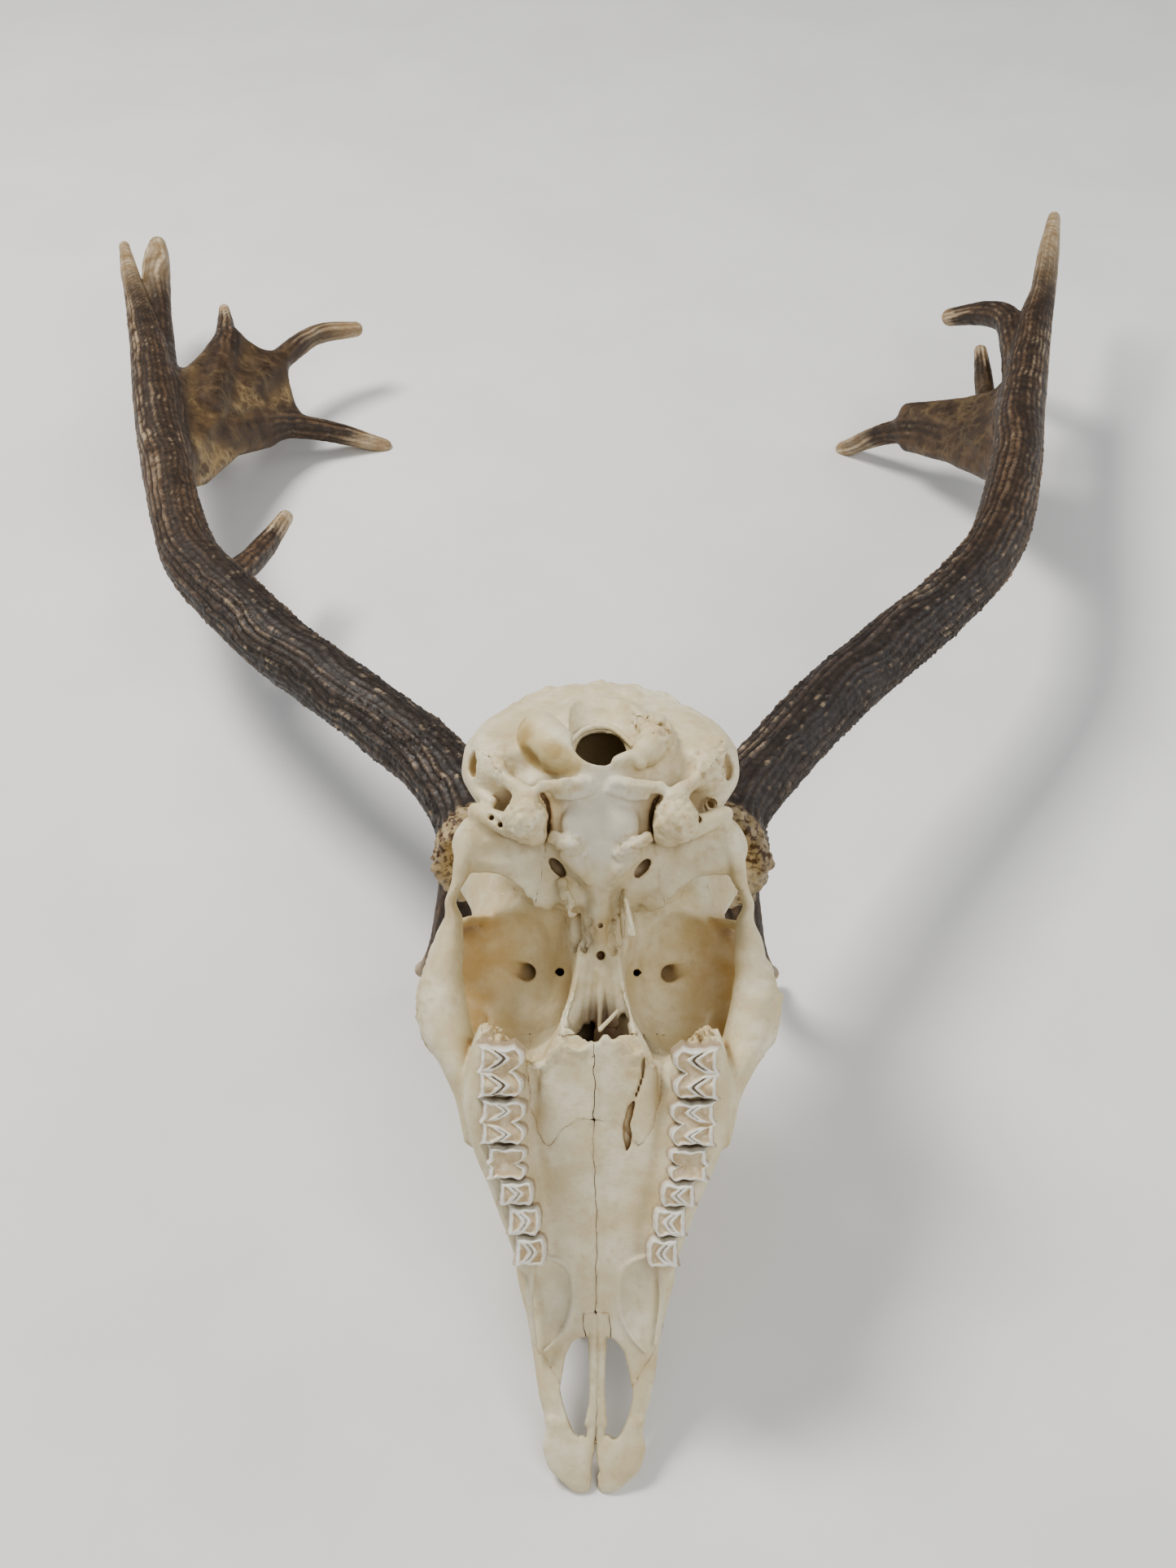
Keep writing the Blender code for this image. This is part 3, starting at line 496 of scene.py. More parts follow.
def skull_masses(f):
    """The full bodies of muzzle, forehead, braincase, palate, skull base and tooth-bearing bones."""
    f.join(loft([  # muzzle, from the thin side walls of the nose back to the orbits
        (250, 0, 17, 2, 10, 2.6), (240, 0, 20, 3, 16, 2.8), (227, 0, 22.4, 5, 26, 2.8),
        (213, 0, 24.4, 5.4, 38, 2.8, 0.12), (200, 0, 26.4, 5, 52, 2.6, 0.28),
        (186, 0, 28.7, 4, 58, 2.5, 0.30), (170, 0, 33.5, 4, 65, 2.4, 0.32), (155, 0, 39, 4, 72, 2.4, 0.34),
        (140, 0, 43.5, 5, 79, 2.4, 0.30), (125, 0, 46.5, 9, 85, 2.4, 0.16), (108, 0, 47, 18, 88, 2.4)]))
    f.join(loft([  # forehead, the roof of the orbits
        (134, 0, 30, 70, 84, 2.6), (124, 0, 47, 69, 86, 3), (114, 0, 56, 70, 88, 3),
        (100, 0, 61, 71, 91, 2.8), (84, 0, 60, 68, 92, 2.6), (72, 0, 48, 60, 93, 2.4),
        (50, 0, 40, 50, 93)]), 4)
    f.join(loft([  # back of the braincase with the nuchal plate
        (-17, 0, 14, 70, 82), (-11, 0, 29, 62, 84, 2.4), (-3, 0, 43, 48, 86, 2.4),
        (6, 0, 49, 34, 88, 2.5, 0.15), (17, 0, 50, 28, 90, 2.4, 0.2), (30, 0, 45, 30, 93, 2.3, 0.15),
        (46, 0, 38, 34, 93), (66, 0, 30, 38, 93)]), 4)
    f.join(ball((0, 30, 58), (38, 42, 35)), 4)
    f.join(loft([  # inner walls of the sockets, a wedge that widens upwards
        (58, 0, 15, 37, 84, 2.2, -0.5), (72, 0, 14.5, 36, 84, 2.2, -0.5), (90, 0, 15, 35, 84, 2.2, -0.5),
        (104, 0, 18, 33.5, 84, 2.2, -0.4), (122, 0, 25, 28, 84, 2.2, -0.2)]), 2)
    f.join(loft([  # palate between the cheek teeth
        (160, 0, 20, 4.6, 12, 3), (130, 0, 21, 4.4, 12, 3), (118, 0, 21, 4.6, 12, 3),
        (108, 0, 19, 4.6, 11, 3)]), 2)
    f.join(loft([  # base of the skull, narrowing forwards to the bar between the sockets
        (10, 0, 13, 19, 42, 2.6), (18, 0, 17.5, 20, 44, 2.6), (25, 0, 19.4, 21, 44, 2.6),
        (31, 0, 16.8, 22, 46, 2.6), (37, 0, 17.8, 22, 46, 2.6), (43, 0, 17.2, 22.6, 47, 2.5),
        (49, 0, 14.2, 24, 48, 2.4), (54, 0, 11.4, 26, 50, 2.3), (59, 0, 8.2, 28.4, 52, 2.3),
        (63, 0, 5.4, 30.4, 54, 2.3), (70, 0, 5.6, 33, 56, 2.3), (77, 0, 5, 35.4, 58, 2.3),
        (84, 0, 4.2, 37, 60, 2.3), (112, 0, 4.4, 37, 64, 2.3)]), 1.5)
    for _ in f.halves():
        f.join(loft([  # bone that holds the cheek teeth
            (196, 22, 5, 3, 14, 2.4), (184, 24, 7.5, 0.6, 22, 2.4), (166, 29, 10, 0.4, 28, 2.4),
            (150, 33.5, 12, 0.4, 33, 2.4), (134, 36.5, 12.5, 0.4, 38, 2.4), (118, 36.5, 10, 1.5, 38, 2.4),
            (106, 36, 6, 8, 34, 2.4)]), 3)
        f.join(ball((36, 16, 50), (14, 13, 20)), 4)
        f.join(rod([(30, 76, 74, 17), (32, 68, 82, 16.5), (46, 49, 103, 15.5)]), 5)
        # shelf in front of the ear, with the hollow for the jaw joint
        f.join(ball((39, 44, 41), (16, 13, 10)), 3)
        f.join(ball((25, 54, 42), (15, 16, 8)), 3)


def skull_hollows(f):
    """Nasal cavity, braincase, passage behind the palate, and the eye sockets with their openings."""
    f.cut(loft([  # nasal cavity, open in front and above the side walls of the nose
        (275, 0, 15.4, 6, 60, 4), (250, 0, 14.6, 7, 60, 4), (238, 0, 16.8, 8, 60, 4),
        (222, 0, 19.6, 9, 62, 4), (206, 0, 21.4, 10, 62, 4, 0.1), (196, 0, 21.6, 11, 51, 3, 0.2),
        (180, 0, 20, 13, 54, 3, 0.3), (160, 0, 14, 14, 50, 3, 0.3), (140, 0, 13, 12, 44, 3, 0.2),
        (120, 0, 13, 12, 40, 3, 0.1)]))
    f.cut(ball((0, 27, 53), (20, 25.4, 19)))
    f.cut(loft([  # passage behind the palate
        (124, 0, 12.4, 11, 33, 2.8), (113, 0, 11.6, 10, 33, 2.8), (104, 0, 9.8, 2, 34.5, 2.8),
        (94, 0, 7.6, 10, 36, 2.6), (85, 0, 5.6, 22, 37, 2.4)]), 1)
    for _ in f.halves():
        f.cut(prism(SHELF_EDGE, 10, 49), 1.2)
        f.cut(prism(SOCKET_FRONT, -10, 44), 2)
        for centre, radii, blend in (
                ((32, 94, 46), (22.5, 28, 29), 3), ((31, 90, 22), (20, 20, 28), 3),
                ((50, 96, 56), (25, 22.5, 18), 2), ((40, 64, 48), (18, 13, 12), 4),
                ((57, 64, 60), (13.5, 18, 20), 6), ((16.3, 206, 3.2), (8.4, 17.5, 4.6), 0.5),
                ((47, 135, 55), (5, 10, 7), 2), ((24, 151, 68), (4.5, 13, 6), 1),
                ((30.5, 181, 26), (4, 5, 3.5), 1), ((10, 134, 2.2), (9, 22, 2.6), 3),
                ((9, 172, 2.0), (9, 30, 2.4), 3)):
            f.cut(ball(centre, radii), blend)


def skull_bars(f):
    """The slender parts: nasal bones, crests, premaxillae, orbit rims, cheek arches and inner plates."""
    f.join(loft([  # both nasal bones
        (223, 0, 9.5, 44.5, 48, 2.6), (215, 0, 13.2, 45.5, 51.5, 2.6), (196, 0, 14.5, 51, 58, 2.6),
        (170, 0, 16, 60, 67.5, 2.6), (140, 0, 16, 70, 79.5, 2.6), (116, 0, 11, 78, 88, 2.6)]), 1)
    f.join(rod([(0.4, 113, 30, 1.0), (0.6, 102, 33.4, 1.2), (0.6, 90, 36, 1.4)]), 2)
    crest = [
        (0, -15.5, 80, 3.2), (7, -14.6, 79.4, 2.6), (13, -14.5, 79, 3), (24, -12, 76, 3), (34, -5, 71, 3),
        (43, 1, 65, 3), (47.5, 9, 56, 3)]
    for side in f.halves():
        f.join(rod(crest), 3)
        f.join(loft([  # body of the premaxilla in front of its fissure
            (246, 15.2, 3.2, 2, 10, 2.4), (252, 11, 6.4, 1.5, 8, 2.6), (258, 9.6, 8.7, 0.4, 6.6, 2.6),
            (264, 8.4, 8, -0.4, 5.4, 2.6), (269, 6, 5.2, -0.6, 4.4, 2.6),
            (272.5, 4.4, 3, -0.4, 3.6, 2.4)]), 1.5)
        f.join(rod([(1.9 + 0.4 * side, 262, 3.6, 1.7), (1.6 + 0.5 * side, 245, 4.6, 1.5),
                    (1.5 + 0.6 * side, 228, 5.4, 1.5), (1.2 + 0.4 * side, 211, 6.2, 1.2)]), 0.6)
        f.join(rod([  # rim of the orbit
            (64, 104, 41, 3.6), (59.5, 119, 44, 3.6), (52.5, 125, 56, 3.4), (53.5, 118, 70, 3.4),
            (61, 101, 78, 3.4), (60, 83, 72, 3.4), (55.6, 73.4, 58, 3), (58.4, 82, 44, 3.4)], closed=True), 3)
        f.join(plate([(37, 73, 71), (43, 72.2, 62), (49.4, 72.2, 52), (55, 75, 45), (59, 79, 44),
                      (59, 76, 58), (54, 74, 74)], 1.0), 2.4)
        f.join(loft([  # cheekbone and the arch behind it
            (152, 41.5, 4, 14, 34), (136, 45.5, 5.5, 15, 40), (124, 51, 7.5, 18, 48), (112, 56, 9.5, 22, 48),
            (98, 58, 8.8, 26, 46), (91, 57.6, 7.2, 28, 47), (84, 56.2, 6, 30, 48), (78, 55.2, 4.8, 32, 48),
            (71, 54.2, 3.3, 33, 48), (65.5, 55.3, 2.1, 33, 46), (61, 53.8, 2.1, 32, 44),
            (56, 51.6, 3, 32, 43), (50, 50.4, 3.6, 31, 42), (44, 48.4, 4.6, 31, 42),
            (34, 43, 8, 31, 44)]), 1.6)
        f.join(loft([  # upright plate beside the inner nostril, with its free edge towards the palate
            (119, 13.4, 1.4, 4, 44, 3), (111, 12.8, 1, 12, 44, 3), (105, 11.6, 0.8, 22, 44, 3),
            (98, 9.4, 0.7, 29, 44, 3), (88, 7.6, 0.8, 33, 44, 3), (80, 6.8, 1.2, 35, 46, 3)]), 1.6)
        f.join(rod([(2.8, 84, 37, 0.9), (3.4, 94, 35.4, 1.1), (4.6, 108, 33.4, 1.0)]), 1.0)
        f.join(rod([(5.2, 84, 36.4, 2.0), (6.8, 94, 35, 2.6), (9.2, 106, 33, 3.0)]), 1.6)


LEFT_CONDYLE = [(-22.6, 0.6, 43.4, 6.8), (-22, 4, 36.6, 9), (-16.6, 9, 29.4, 8.6), (-10, 13.4, 24.8, 5)]


def skull_base(f):
    """Condyles, ear bullae, tubercles, ridges and holes of the underside behind the palate."""
    f.join(rod(LEFT_CONDYLE), 0.8)
    f.join(rod([(19.6, 0.4, 43, 6.6), (19.8, 4, 36, 7.6), (16.8, 8.4, 28.8, 6.2), (14, 10.6, 25, 4)]), 1.5)
    f.cut(rod([(0, -16, 47.5, 12.4), (0.6, -6, 41, 12.6), (0.6, 1, 34.6, 12.4), (0.4, 8, 32, 11.4)]), 0.6)
    f.cut(ball((0.6, 5, 24), (11.4, 9.6, 13)), 0.8)
    f.cut(ball((0, 14, 46), (11, 13, 16)), 0.8)
    # lips round the great hole, and the rough inner edge of its roof
    for rows, blend in (
            ([(-14.6, -4, 50, 1.6), (-10, -5.6, 55, 1.9), (-1.5, -7, 58.4, 2.2), (6.4, -6.6, 58, 2),
              (12.4, -4.8, 54, 1.7), (14.4, -3, 49, 1.4)], 1.2),
            ([(-12, 7, 31, 1.0), (-9.6, 3.6, 39, 1.1), (-6.4, 1, 45, 1.1), (-1.4, -0.6, 48.6, 1.2),
              (4.8, 0.4, 46.6, 1.1), (9.6, 4.6, 39.4, 1.1), (12.8, 8.6, 32, 1.0)], 1.0),
            ([(6, 12.6, 20.6, 2.2), (11.4, 11, 21.4, 2.6), (14.4, 13.6, 21, 2.2)], 2)):
        f.join(rod(rows), blend)
    for _ in f.halves():
        f.join(rod([(4.6, 20.4, 19.4, 1.9), (9, 20.4, 18.6, 2.3), (15, 21.6, 18.4, 2.5),
                    (21, 21.8, 20, 2.3)]), 1.2)
        f.join(rod([(3.6, 23.2, 20.2, 1.8), (10.4, 25, 19.4, 2), (16, 25, 20.4, 1.8)]), 2)
        f.join(ball((8.4, 35.4, 23.4), (5.6, 6.4, 2.8)), 3)
        f.join(rod([(6, 46.4, 22.6, 1.8), (11.8, 43.2, 21.6, 2.6), (17, 40, 22.4, 2.2)]), 1.2)
        f.join(rod([(12.4, 46.4, 24.4, 2.8), (7.8, 51, 25, 3), (4, 56.6, 28, 1.7)]), 1.6)
        f.join(ball((27.4, 34.2, 22), (8.5, 8.2, 10.4)), 1)
        f.join(ball((24, 39.4, 24), (5, 4.6, 8)), 1.2)
        for rows, blend in (
                ([(33, 36.4, 26, 4.6), (39, 34.4, 29.4, 3.8), (46, 31.6, 34, 3.2)], 2),
                ([(43.6, 6, 44, 3.6), (41, 10.6, 38.6, 3.8), (36, 16.6, 31.6, 3.6), (30.4, 22, 25, 3.2),
                  (26, 25.6, 19.4, 2.4)], 5),
                ([(48.6, 8, 50, 2), (48, 16, 44, 2.2), (45.6, 24, 38, 2.2), (40, 28, 33, 2)], 2)):
            f.join(rod(rows), blend)
        f.cut(prism([(22.2, 25), (20, 28.4), (19.1, 33), (19.4, 38), (20.6, 43.6), (20.2, 43.8),
                     (18.8, 38.4), (18.1, 33), (18.6, 28.2), (21, 24.6)], 10, 31), 0.6)
        for centre, radii, blend in (
                ((28.4, 14.4, 28.6), (6, 5, 5.4), 4), ((45.6, 14.6, 40.4), (3.2, 5, 4), 2.5),
                ((36, 47, 30.6), (8.5, 4.2, 2.6), 2)):
            f.cut(ball(centre, radii), blend)
        f.cut(prism(oval((15.6, 51.8), 4.4, 2.0, -52), 22, 41), 0.6)
        for rows, blend in (
                ([(15, 50, 39, 2.6), (10, 40, 46, 3.4)], 1),
                ([(27.4, 93.4, 62, 3.8), (27.2, 94, 76, 3.0), (23, 91, 84, 2.4)], 1.2),
                ([(38, 90.6, 71.6, 1.2), (33, 92.2, 73.6, 2.4), (28, 93.6, 76, 2.8)], 1.5),
                ([(13.4, 90.4, 38, 1.4), (15.4, 95, 88, 1.5)], 0.4)):
            f.cut(rod(rows), blend)
    for rows, blend in (
            ([(41.3, 27.2, 30, 1.7), (40, 29, 42, 1.8)], 0.5),
            ([(35.7, 33.3, 20, 1.6), (34.6, 34, 34, 1.6)], 0.5),
            ([(-46, 31, 30, 0.6), (-43, 31.4, 27, 0.9), (-40.6, 33, 25.6, 1.3), (-38.6, 34.6, 25, 0.9),
              (-36.4, 36.2, 23.6, 0.7)], 0.5),
            ([(-40.2, 33.4, 24, 1.0), (-39.6, 34, 31, 0.9)], 0.5),
            ([(-36.6, 36, 22, 0.8), (-36, 36.4, 28, 0.8)], 0.5)):
        f.cut(rod(rows), blend)
    scatter(f, (12, -6, 26), (27, 9, 48), 120, (0.7, 1.1), 17)
    scatter(f, (36, 5, 22), (45, 20, 44), 34, (0.7, 1.0), 18)


def skull_wounds(f):
    """Broken margins, worn-through places and cracks round the inner nostrils and the palate."""
    f.cut(prism(PALATE_MARGIN, -8, 9.6), 0.6)
    f.cut(prism(FISSURE_LEFT, -4, 12), 0.6)
    f.cut(prism(FISSURE_RIGHT, -4, 12), 0.6)
    f.cut(prism(PALATE_GAP, -4, 13), 0.4)
    f.cut(prism([
        (16.2, 116), (15.6, 120.6), (15.2, 126), (12.6, 133.4), (13.3, 133.6), (16, 126), (16.5, 120.6),
        (17.1, 116)], 0, 8), 0.3)
    f.cut(prism([
        (-0.3, 258.6), (-0.6, 263), (-1.3, 264.6), (-0.5, 266), (-1, 268), (-0.5, 275), (1.1, 275),
        (1.3, 268), (0.7, 266.6), (1.9, 265), (0.9, 262.4), (0.7, 258.6)], -6, 12), 0.4)
    f.cut(rod([(-15.4, 148.8, 3.6, 0.7), (-13.9, 147, 4, 1.0), (-11.6, 147, 4.4, 0.6)]), 0.6)
    f.cut(rod([(15, 151.4, 4, 0.6), (13.8, 148.8, 4.2, 0.6), (14.6, 146, 4.2, 0.5)]), 0.5)
    f.join(ball((10.8, 143, 13.4), (5, 16, 4.4)), 1)
    # holes through the roof of the passage behind the palate
    f.cut(prism([
        (-8.4, 116), (-8, 113), (-6.6, 112.2), (-5.4, 109.4), (-3.4, 110), (-2.4, 108.4), (-1.2, 110),
        (-2, 113), (-1.6, 118)], 26, 52), 0.5)
    f.cut(prism([
        (6.4, 118), (6.6, 112), (8, 109.6), (7.8, 106), (9.4, 104.8), (10.6, 107.6), (13.4, 109.4),
        (15.6, 111), (17, 115), (16.8, 121)], 26, 52), 0.5)
    # stumps of the pterygoid bones
    f.join(rod([(-13.8, 57.4, 32, 2.2), (-12, 62.6, 29, 2.2), (-10.2, 68.4, 28, 1.5)]), 1)
    f.join(rod([(-8.4, 60.4, 31, 1.3), (-7.4, 64.6, 29, 1.2), (-7.2, 67.6, 30, 0.9)]), 0.8)
    f.join(plate([(9.2, 60, 33), (9.6, 63.6, 26), (12.6, 75.8, 24.4), (11.2, 76, 25), (10.2, 71, 29),
                  (9.6, 66, 34)], 0.7), 0.8)
    f.join(plate([(8.2, 62, 33), (8.6, 70, 30), (9.2, 79.6, 31), (8.6, 76, 35), (8, 66, 36)], 0.6), 0.6)
    f.join(rod([(6.8, 102.6, 15, 0.7), (3.4, 106, 11, 0.9), (0.4, 108.8, 8, 1.1)]), 0.6)
    f.join(rod([(-9.6, 99, 22, 0.6), (-12.8, 104.6, 15, 0.7), (-12.6, 111, 9, 0.9)]), 0.8)
    scatter(f, (-16, 56, 24), (-6, 70, 34), 34, (0.7, 1.1), 22)
    f.cut(rod([(0.7, 84.4, 30, 1.7), (0.7, 84.4, 42, 1.6)]), 0.4)
    f.cut(rod([(0.4, 73.2, 30, 0.8), (0.4, 73.2, 37, 0.8)]), 0.4)
    scatter(f, (-6.8, 70, 31), (-2.6, 84, 44), 44, (0.8, 1.3), 23)
    scatter(f, (3.4, 70, 31), (7.6, 84, 44), 44, (0.8, 1.3), 24)
    # spongy bone behind the last cheek tooth
    for side, seed in ((-1, 31), (1, 32)):
        low, high = sorted((30 * side, 43 * side))
        scatter(f, (low, 98, 2), (high, 114, 34), 150, (0.7, 1.3), seed)


def skull_ridges(f):
    """Fine edges and ridges of the palate and the cheeks."""
    for _ in f.halves():
        f.join(rod([  # edge of the hollow before the premolars
            (17.6, 189.6, 4.2, 0.9), (13, 191, 4.6, 1.0), (9.6, 194, 5.0, 1.0), (8.2, 199, 5.2, 1.0),
            (8, 205, 5.4, 1.0), (9.4, 211.6, 5.5, 1.0), (12.4, 217.6, 5.4, 0.9), (18, 223.4, 5.2, 0.9)]), 1.2)
        f.join(rod([(22.6, 188, 4, 1.4), (23.6, 205, 5, 1.2), (21.6, 221, 5.6, 1.1)]), 1.6)
        f.join(rod([(46.5, 150, 19, 1.6), (49.4, 134, 22, 2), (54, 118, 26, 2.4), (57, 100, 28, 2)]), 4)
    for rows, blend in (
            ([(-1.8, 113, 5, 1.3), (-1.6, 128, 5.6, 1.4), (-1.6, 141, 5.4, 1)], 2),
            ([(-11, 113.6, 6, 1.2), (-8, 115.4, 5.4, 1.6), (-4.6, 115.6, 5.2, 1.2)], 1.5),
            ([(-24, 121, 5, 1.4), (-20, 120.6, 6, 1.6), (-15, 115.4, 6.2, 1.6)], 2),
            ([(24, 120.4, 5, 1.4), (19.4, 119.4, 6, 1.4), (14.4, 117, 6.2, 1.4)], 2)):
        f.join(rod(rows), blend)


def skull_field():
    f = Field((-76, -24, -13), (76, 277, 124), BONE_PITCH)
    skull_masses(f)
    skull_hollows(f)
    skull_bars(f)
    skull_ridges(f)
    skull_base(f)
    skull_wounds(f)
    return f


# ---------------------------------------------------------------- bones

PARIETAL = [(-40, 58), (60, 60), (64, 64), (34, 93), (34, 130), (-40, 130)]
BASE = [
    (-1, -40), (70, -40), (70, 1), (50, 5), (43.5, 9.5), (39, 14.8), (34, 20.8), (28, 26), (23, 28.4),
    (19.8, 26.4), (18.8, 30), (18.2, 35), (19, 40), (20.2, 44), (21.1, 51), (22.3, 58), (24.4, 66),
    (27, 73), (25, 90), (27, 111), (-1, 111)]
NASAL = [(-3, 240), (16, 240), (17.5, 190), (18, 140), (13, 122), (0, 113), (-3, 113)]
PREMAXILLA = [(-3, 214), (4.6, 214), (4.6, 238), (12, 240), (25, 226), (34, 222), (34, 300), (-3, 300)]
FRONTAL = [(48, 66), (62, 60), (76, 54), (112, 55), (124, 72), (132, 90), (132, 140), (20, 140), (20, 100)]
ZYGOMATIC = [(62, 26), (96, 14), (128, 10), (158, 20), (146, 44), (126, 44.5), (113, 46.5), (113, 66),
             (66, 66), (60, 58), (57, 42)]
LACRIMAL = [(108, 66), (108, 43), (126, 41), (150, 50), (152, 66), (138, 90), (128, 90)]
TEMPORAL = [(-40, -20), (68, -12), (68, 70), (-40, 70)]
PALATINE = [
    (-3, 60), (14, 60), (25, 118), (23.4, 129), (23, 135), (20.6, 143), (18, 149), (15.6, 150), (13.4, 147),
    (11, 144), (7, 141), (-3, 140.6)]
WHOLE = [(-90, -90), (300, -90), (300, 200), (-90, 200)]
NASAL_SLOPE = 42 / 107        # how fast the nasal bones rise backwards
PREMAXILLA_SLOPE = 0.75       # the premaxilla's suture leans back as it rises


def wobble(x, y, z, size, depth):
    """A wavy offset for sutures, cheap enough for a whole grid."""
    return depth * (np.sin(x / size + 1.7 * np.sin(y / size / 1.9)) * np.sin(z / size + 0.6)
                    + 0.6 * np.sin(y / size * 1.7 + 2.1 * np.sin(x / size / 1.3)))


def midline(y):
    """Where the wavy seam between the two halves runs, left or right of the middle plane."""
    return np.clip((y - 193) / 40, -2, 0.5) + 0.28 * np.sin(y / 1.6) * np.sin(y / 5.3) + 0.3 * np.sin(y / 8.7)


def suture_gap(y):
    """Clearance between neighbouring bones, which are grown together behind and looser towards the nose."""
    return 0.06 + 0.10 * step_up(y, 138, 150)


def bone_regions(x, y, z, side):
    """The regions of one half's bones, in the order in which they are taken from what is left."""
    wide = side * (x - midline(y))
    lift = 40.5 + (221 - y) * NASAL_SLOPE - z
    return [
        ("nasal", np.maximum(outline_distance(NASAL, wide, y), lift)),
        ("premaxilla", outline_distance(PREMAXILLA, wide, y + PREMAXILLA_SLOPE * np.maximum(z, 0))),
        ("frontal", outline_distance(FRONTAL, y, z)),
        ("zygomatic", np.maximum(outline_distance(ZYGOMATIC, y, z), 40 - wide)),
        ("lacrimal", np.maximum(outline_distance(LACRIMAL, y, z), 24 - wide)),
        ("temporal", outline_distance(TEMPORAL, y, z) + 0 * x),
        ("palatine", np.maximum(outline_distance(PALATINE, wide, y), z - 16)),
        ("maxilla", outline_distance(WHOLE, y, z) + 0 * x)]


def skull_bones(field):
    """Each bone's name, its own block of distances and that block's lowest corner."""
    bones = []

    def share_out(rest, start, coords, parts):
        """Takes each region in turn out of the distances in rest, which is changed."""
        shift = wobble(*coords, 2.3, 0.45)
        half_gap = suture_gap(coords[1]) / 2
        for name, region in parts:
            mine = np.maximum(rest, region + shift + half_gap)
            np.maximum(rest, half_gap - shift - region, out=rest)
            solid = np.argwhere(mine < 0)
            if not len(solid):
                continue
            first = np.maximum(solid.min(axis=0) - 2, 0)
            span = tuple(slice(a, b) for a, b in zip(first, solid.max(axis=0) + 3))
            corner = [axis[a + b] for axis, a, b in zip(field.axes, start, first)]
            bones.append((name, mine[span].copy(), np.array(corner, np.float32)))

    whole = tuple(slice(0, n) for n in field.d.shape)
    x, y, z = field.coords(whole)
    below = outline_distance(BASE, np.abs(x), y)
    roof = z - 62 + 0.3 * np.maximum(y - 40, 0)
    braincase = np.minimum(outline_distance(PARIETAL, y, z), np.maximum(below, roof))
    share_out(field.d, (0, 0, 0), (x, y, z), [("braincase", braincase)])
    middle = int(np.searchsorted(field.axes[0], 0.0))
    for side, word, span in ((-1, "left", slice(0, middle + 5)), (1, "right", slice(middle - 6, None))):
        block = (span, *whole[1:])
        x, y, z = field.coords(block)
        half = np.maximum(field.d[block], suture_gap(y) / 2 - side * (x - midline(y)))
        regions = [(f"{name}_{word}", region) for name, region in bone_regions(x, y, z, side)]
        share_out(half, (span.start, 0, 0), (x, y, z), regions)
    return bones


# ---------------------------------------------------------------- antlers

# Bars of each antler as rows of (x, y, z, radius), and the flat webs of its palm
LEFT_BARS = {
    "beam": [
        (-46, 46, 101, 16), (-56, 28, 123, 15), (-74, 9, 148, 14.3), (-107, -15, 184, 14.3),
        (-141, -37, 219, 14.4), (-170, -61, 252, 14.6), (-193, -83, 284, 13.8), (-206, -106, 314, 12.8),
        (-216, -130, 344, 12.4), (-226, -156, 375, 12.2), (-236, -187, 409, 11.5), (-246, -216, 441, 9.5),
        (-257, -244, 470, 6.6), (-266.6, -266, 496, 5), (-274, -285, 518, 3)],
    "b": [
        (-232, -178, 404, 10), (-238, -207, 438, 8.4), (-244.6, -236, 470, 6.6), (-249, -250, 486, 7.6),
        (-252.6, -265, 502, 8), (-255.4, -279, 518, 7.2), (-256.6, -288, 527, 4.8)],
    "c": [
        (-208, -180, 420, 7), (-207, -205, 448, 6.5), (-208, -226, 471, 5.6), (-213, -245, 496, 3)],
    "d": [
        (-192, -195, 455, 7), (-180, -213, 480, 6.4), (-162, -231, 497, 5.8), (-140, -237, 509, 4.6)],
    "e": [
        (-205, -160, 415, 7), (-184, -171, 452, 7), (-167, -175, 468, 6.4), (-145, -173, 479, 5.6),
        (-121, -167.5, 489, 4.2)],
    "trez": [
        (-176, -64, 258, 9), (-178, -72, 278, 7.5), (-170, -84, 306, 6.6), (-164, -97, 330, 5.6),
        (-158, -111, 348, 4)],
}
RIGHT_BARS = {
    "beam": [
        (46, 46, 101, 16), (55.5, 29, 123, 15), (74, 9, 148, 14.3), (103, -19, 186, 14.3),
        (136, -46, 225, 14.3), (165, -69, 257, 13.4), (187, -93, 287, 13.6), (200, -119, 319, 13.4),
        (209, -145, 350, 12.8), (217, -172, 383, 12.2), (226, -200, 416, 11.2), (236, -231, 450, 9.4),
        (246, -257, 477, 7), (254, -284, 504, 6.2), (261.4, -309, 527, 3.4)],
    "b": [
        (222, -190, 415, 9), (225.4, -214, 441, 8.8), (225, -236, 464, 8.2), (215, -244, 480, 6.9),
        (198, -245.5, 500, 5.2)],
    "c": [
        (206, -168, 408, 6), (207, -184, 430, 5.6), (208, -203, 446, 5), (208.5, -219, 460, 3.6)],
    "e": [
        (205, -152, 385, 8), (190, -165, 420, 7), (170, -173, 448, 6.6), (154, -173, 466, 5.8),
        (137, -168.5, 489.5, 4.4)],
}
BROW_TINE = [
    (52, 34, 116, 10), (55, 52, 128, 9.4), (59, 73, 139, 8.2), (64, 90, 152, 6.6), (70, 99, 166, 5),
    (75, 101.5, 178, 3.4)]
LEFT_WEBS = [
    [(-216, -126, 345), (-206, -136, 384), (-195, -156, 420), (-182, -166, 452), (-172, -184, 467),
     (-180, -208, 475), (-202, -222, 470), (-213, -213, 458), (-220, -198, 434), (-228, -182, 404),
     (-223, -150, 372)],
    [(-226, -160, 385), (-234, -200, 425), (-240, -222, 455), (-247, -224, 450), (-238, -192, 415)]]
RIGHT_WEBS = [
    [(207, -132, 345), (200, -142, 380), (185, -156, 415), (168, -166, 447), (168, -184, 450),
     (184, -184, 438), (202, -184, 425), (222, -190, 408), (216, -162, 372)],
    [(218, -166, 390), (228, -205, 430), (229, -228, 457), (240, -234, 455), (230, -198, 415)]]
WEB_HALF_THICKNESS = 4.4
PALM_BLEND = 8
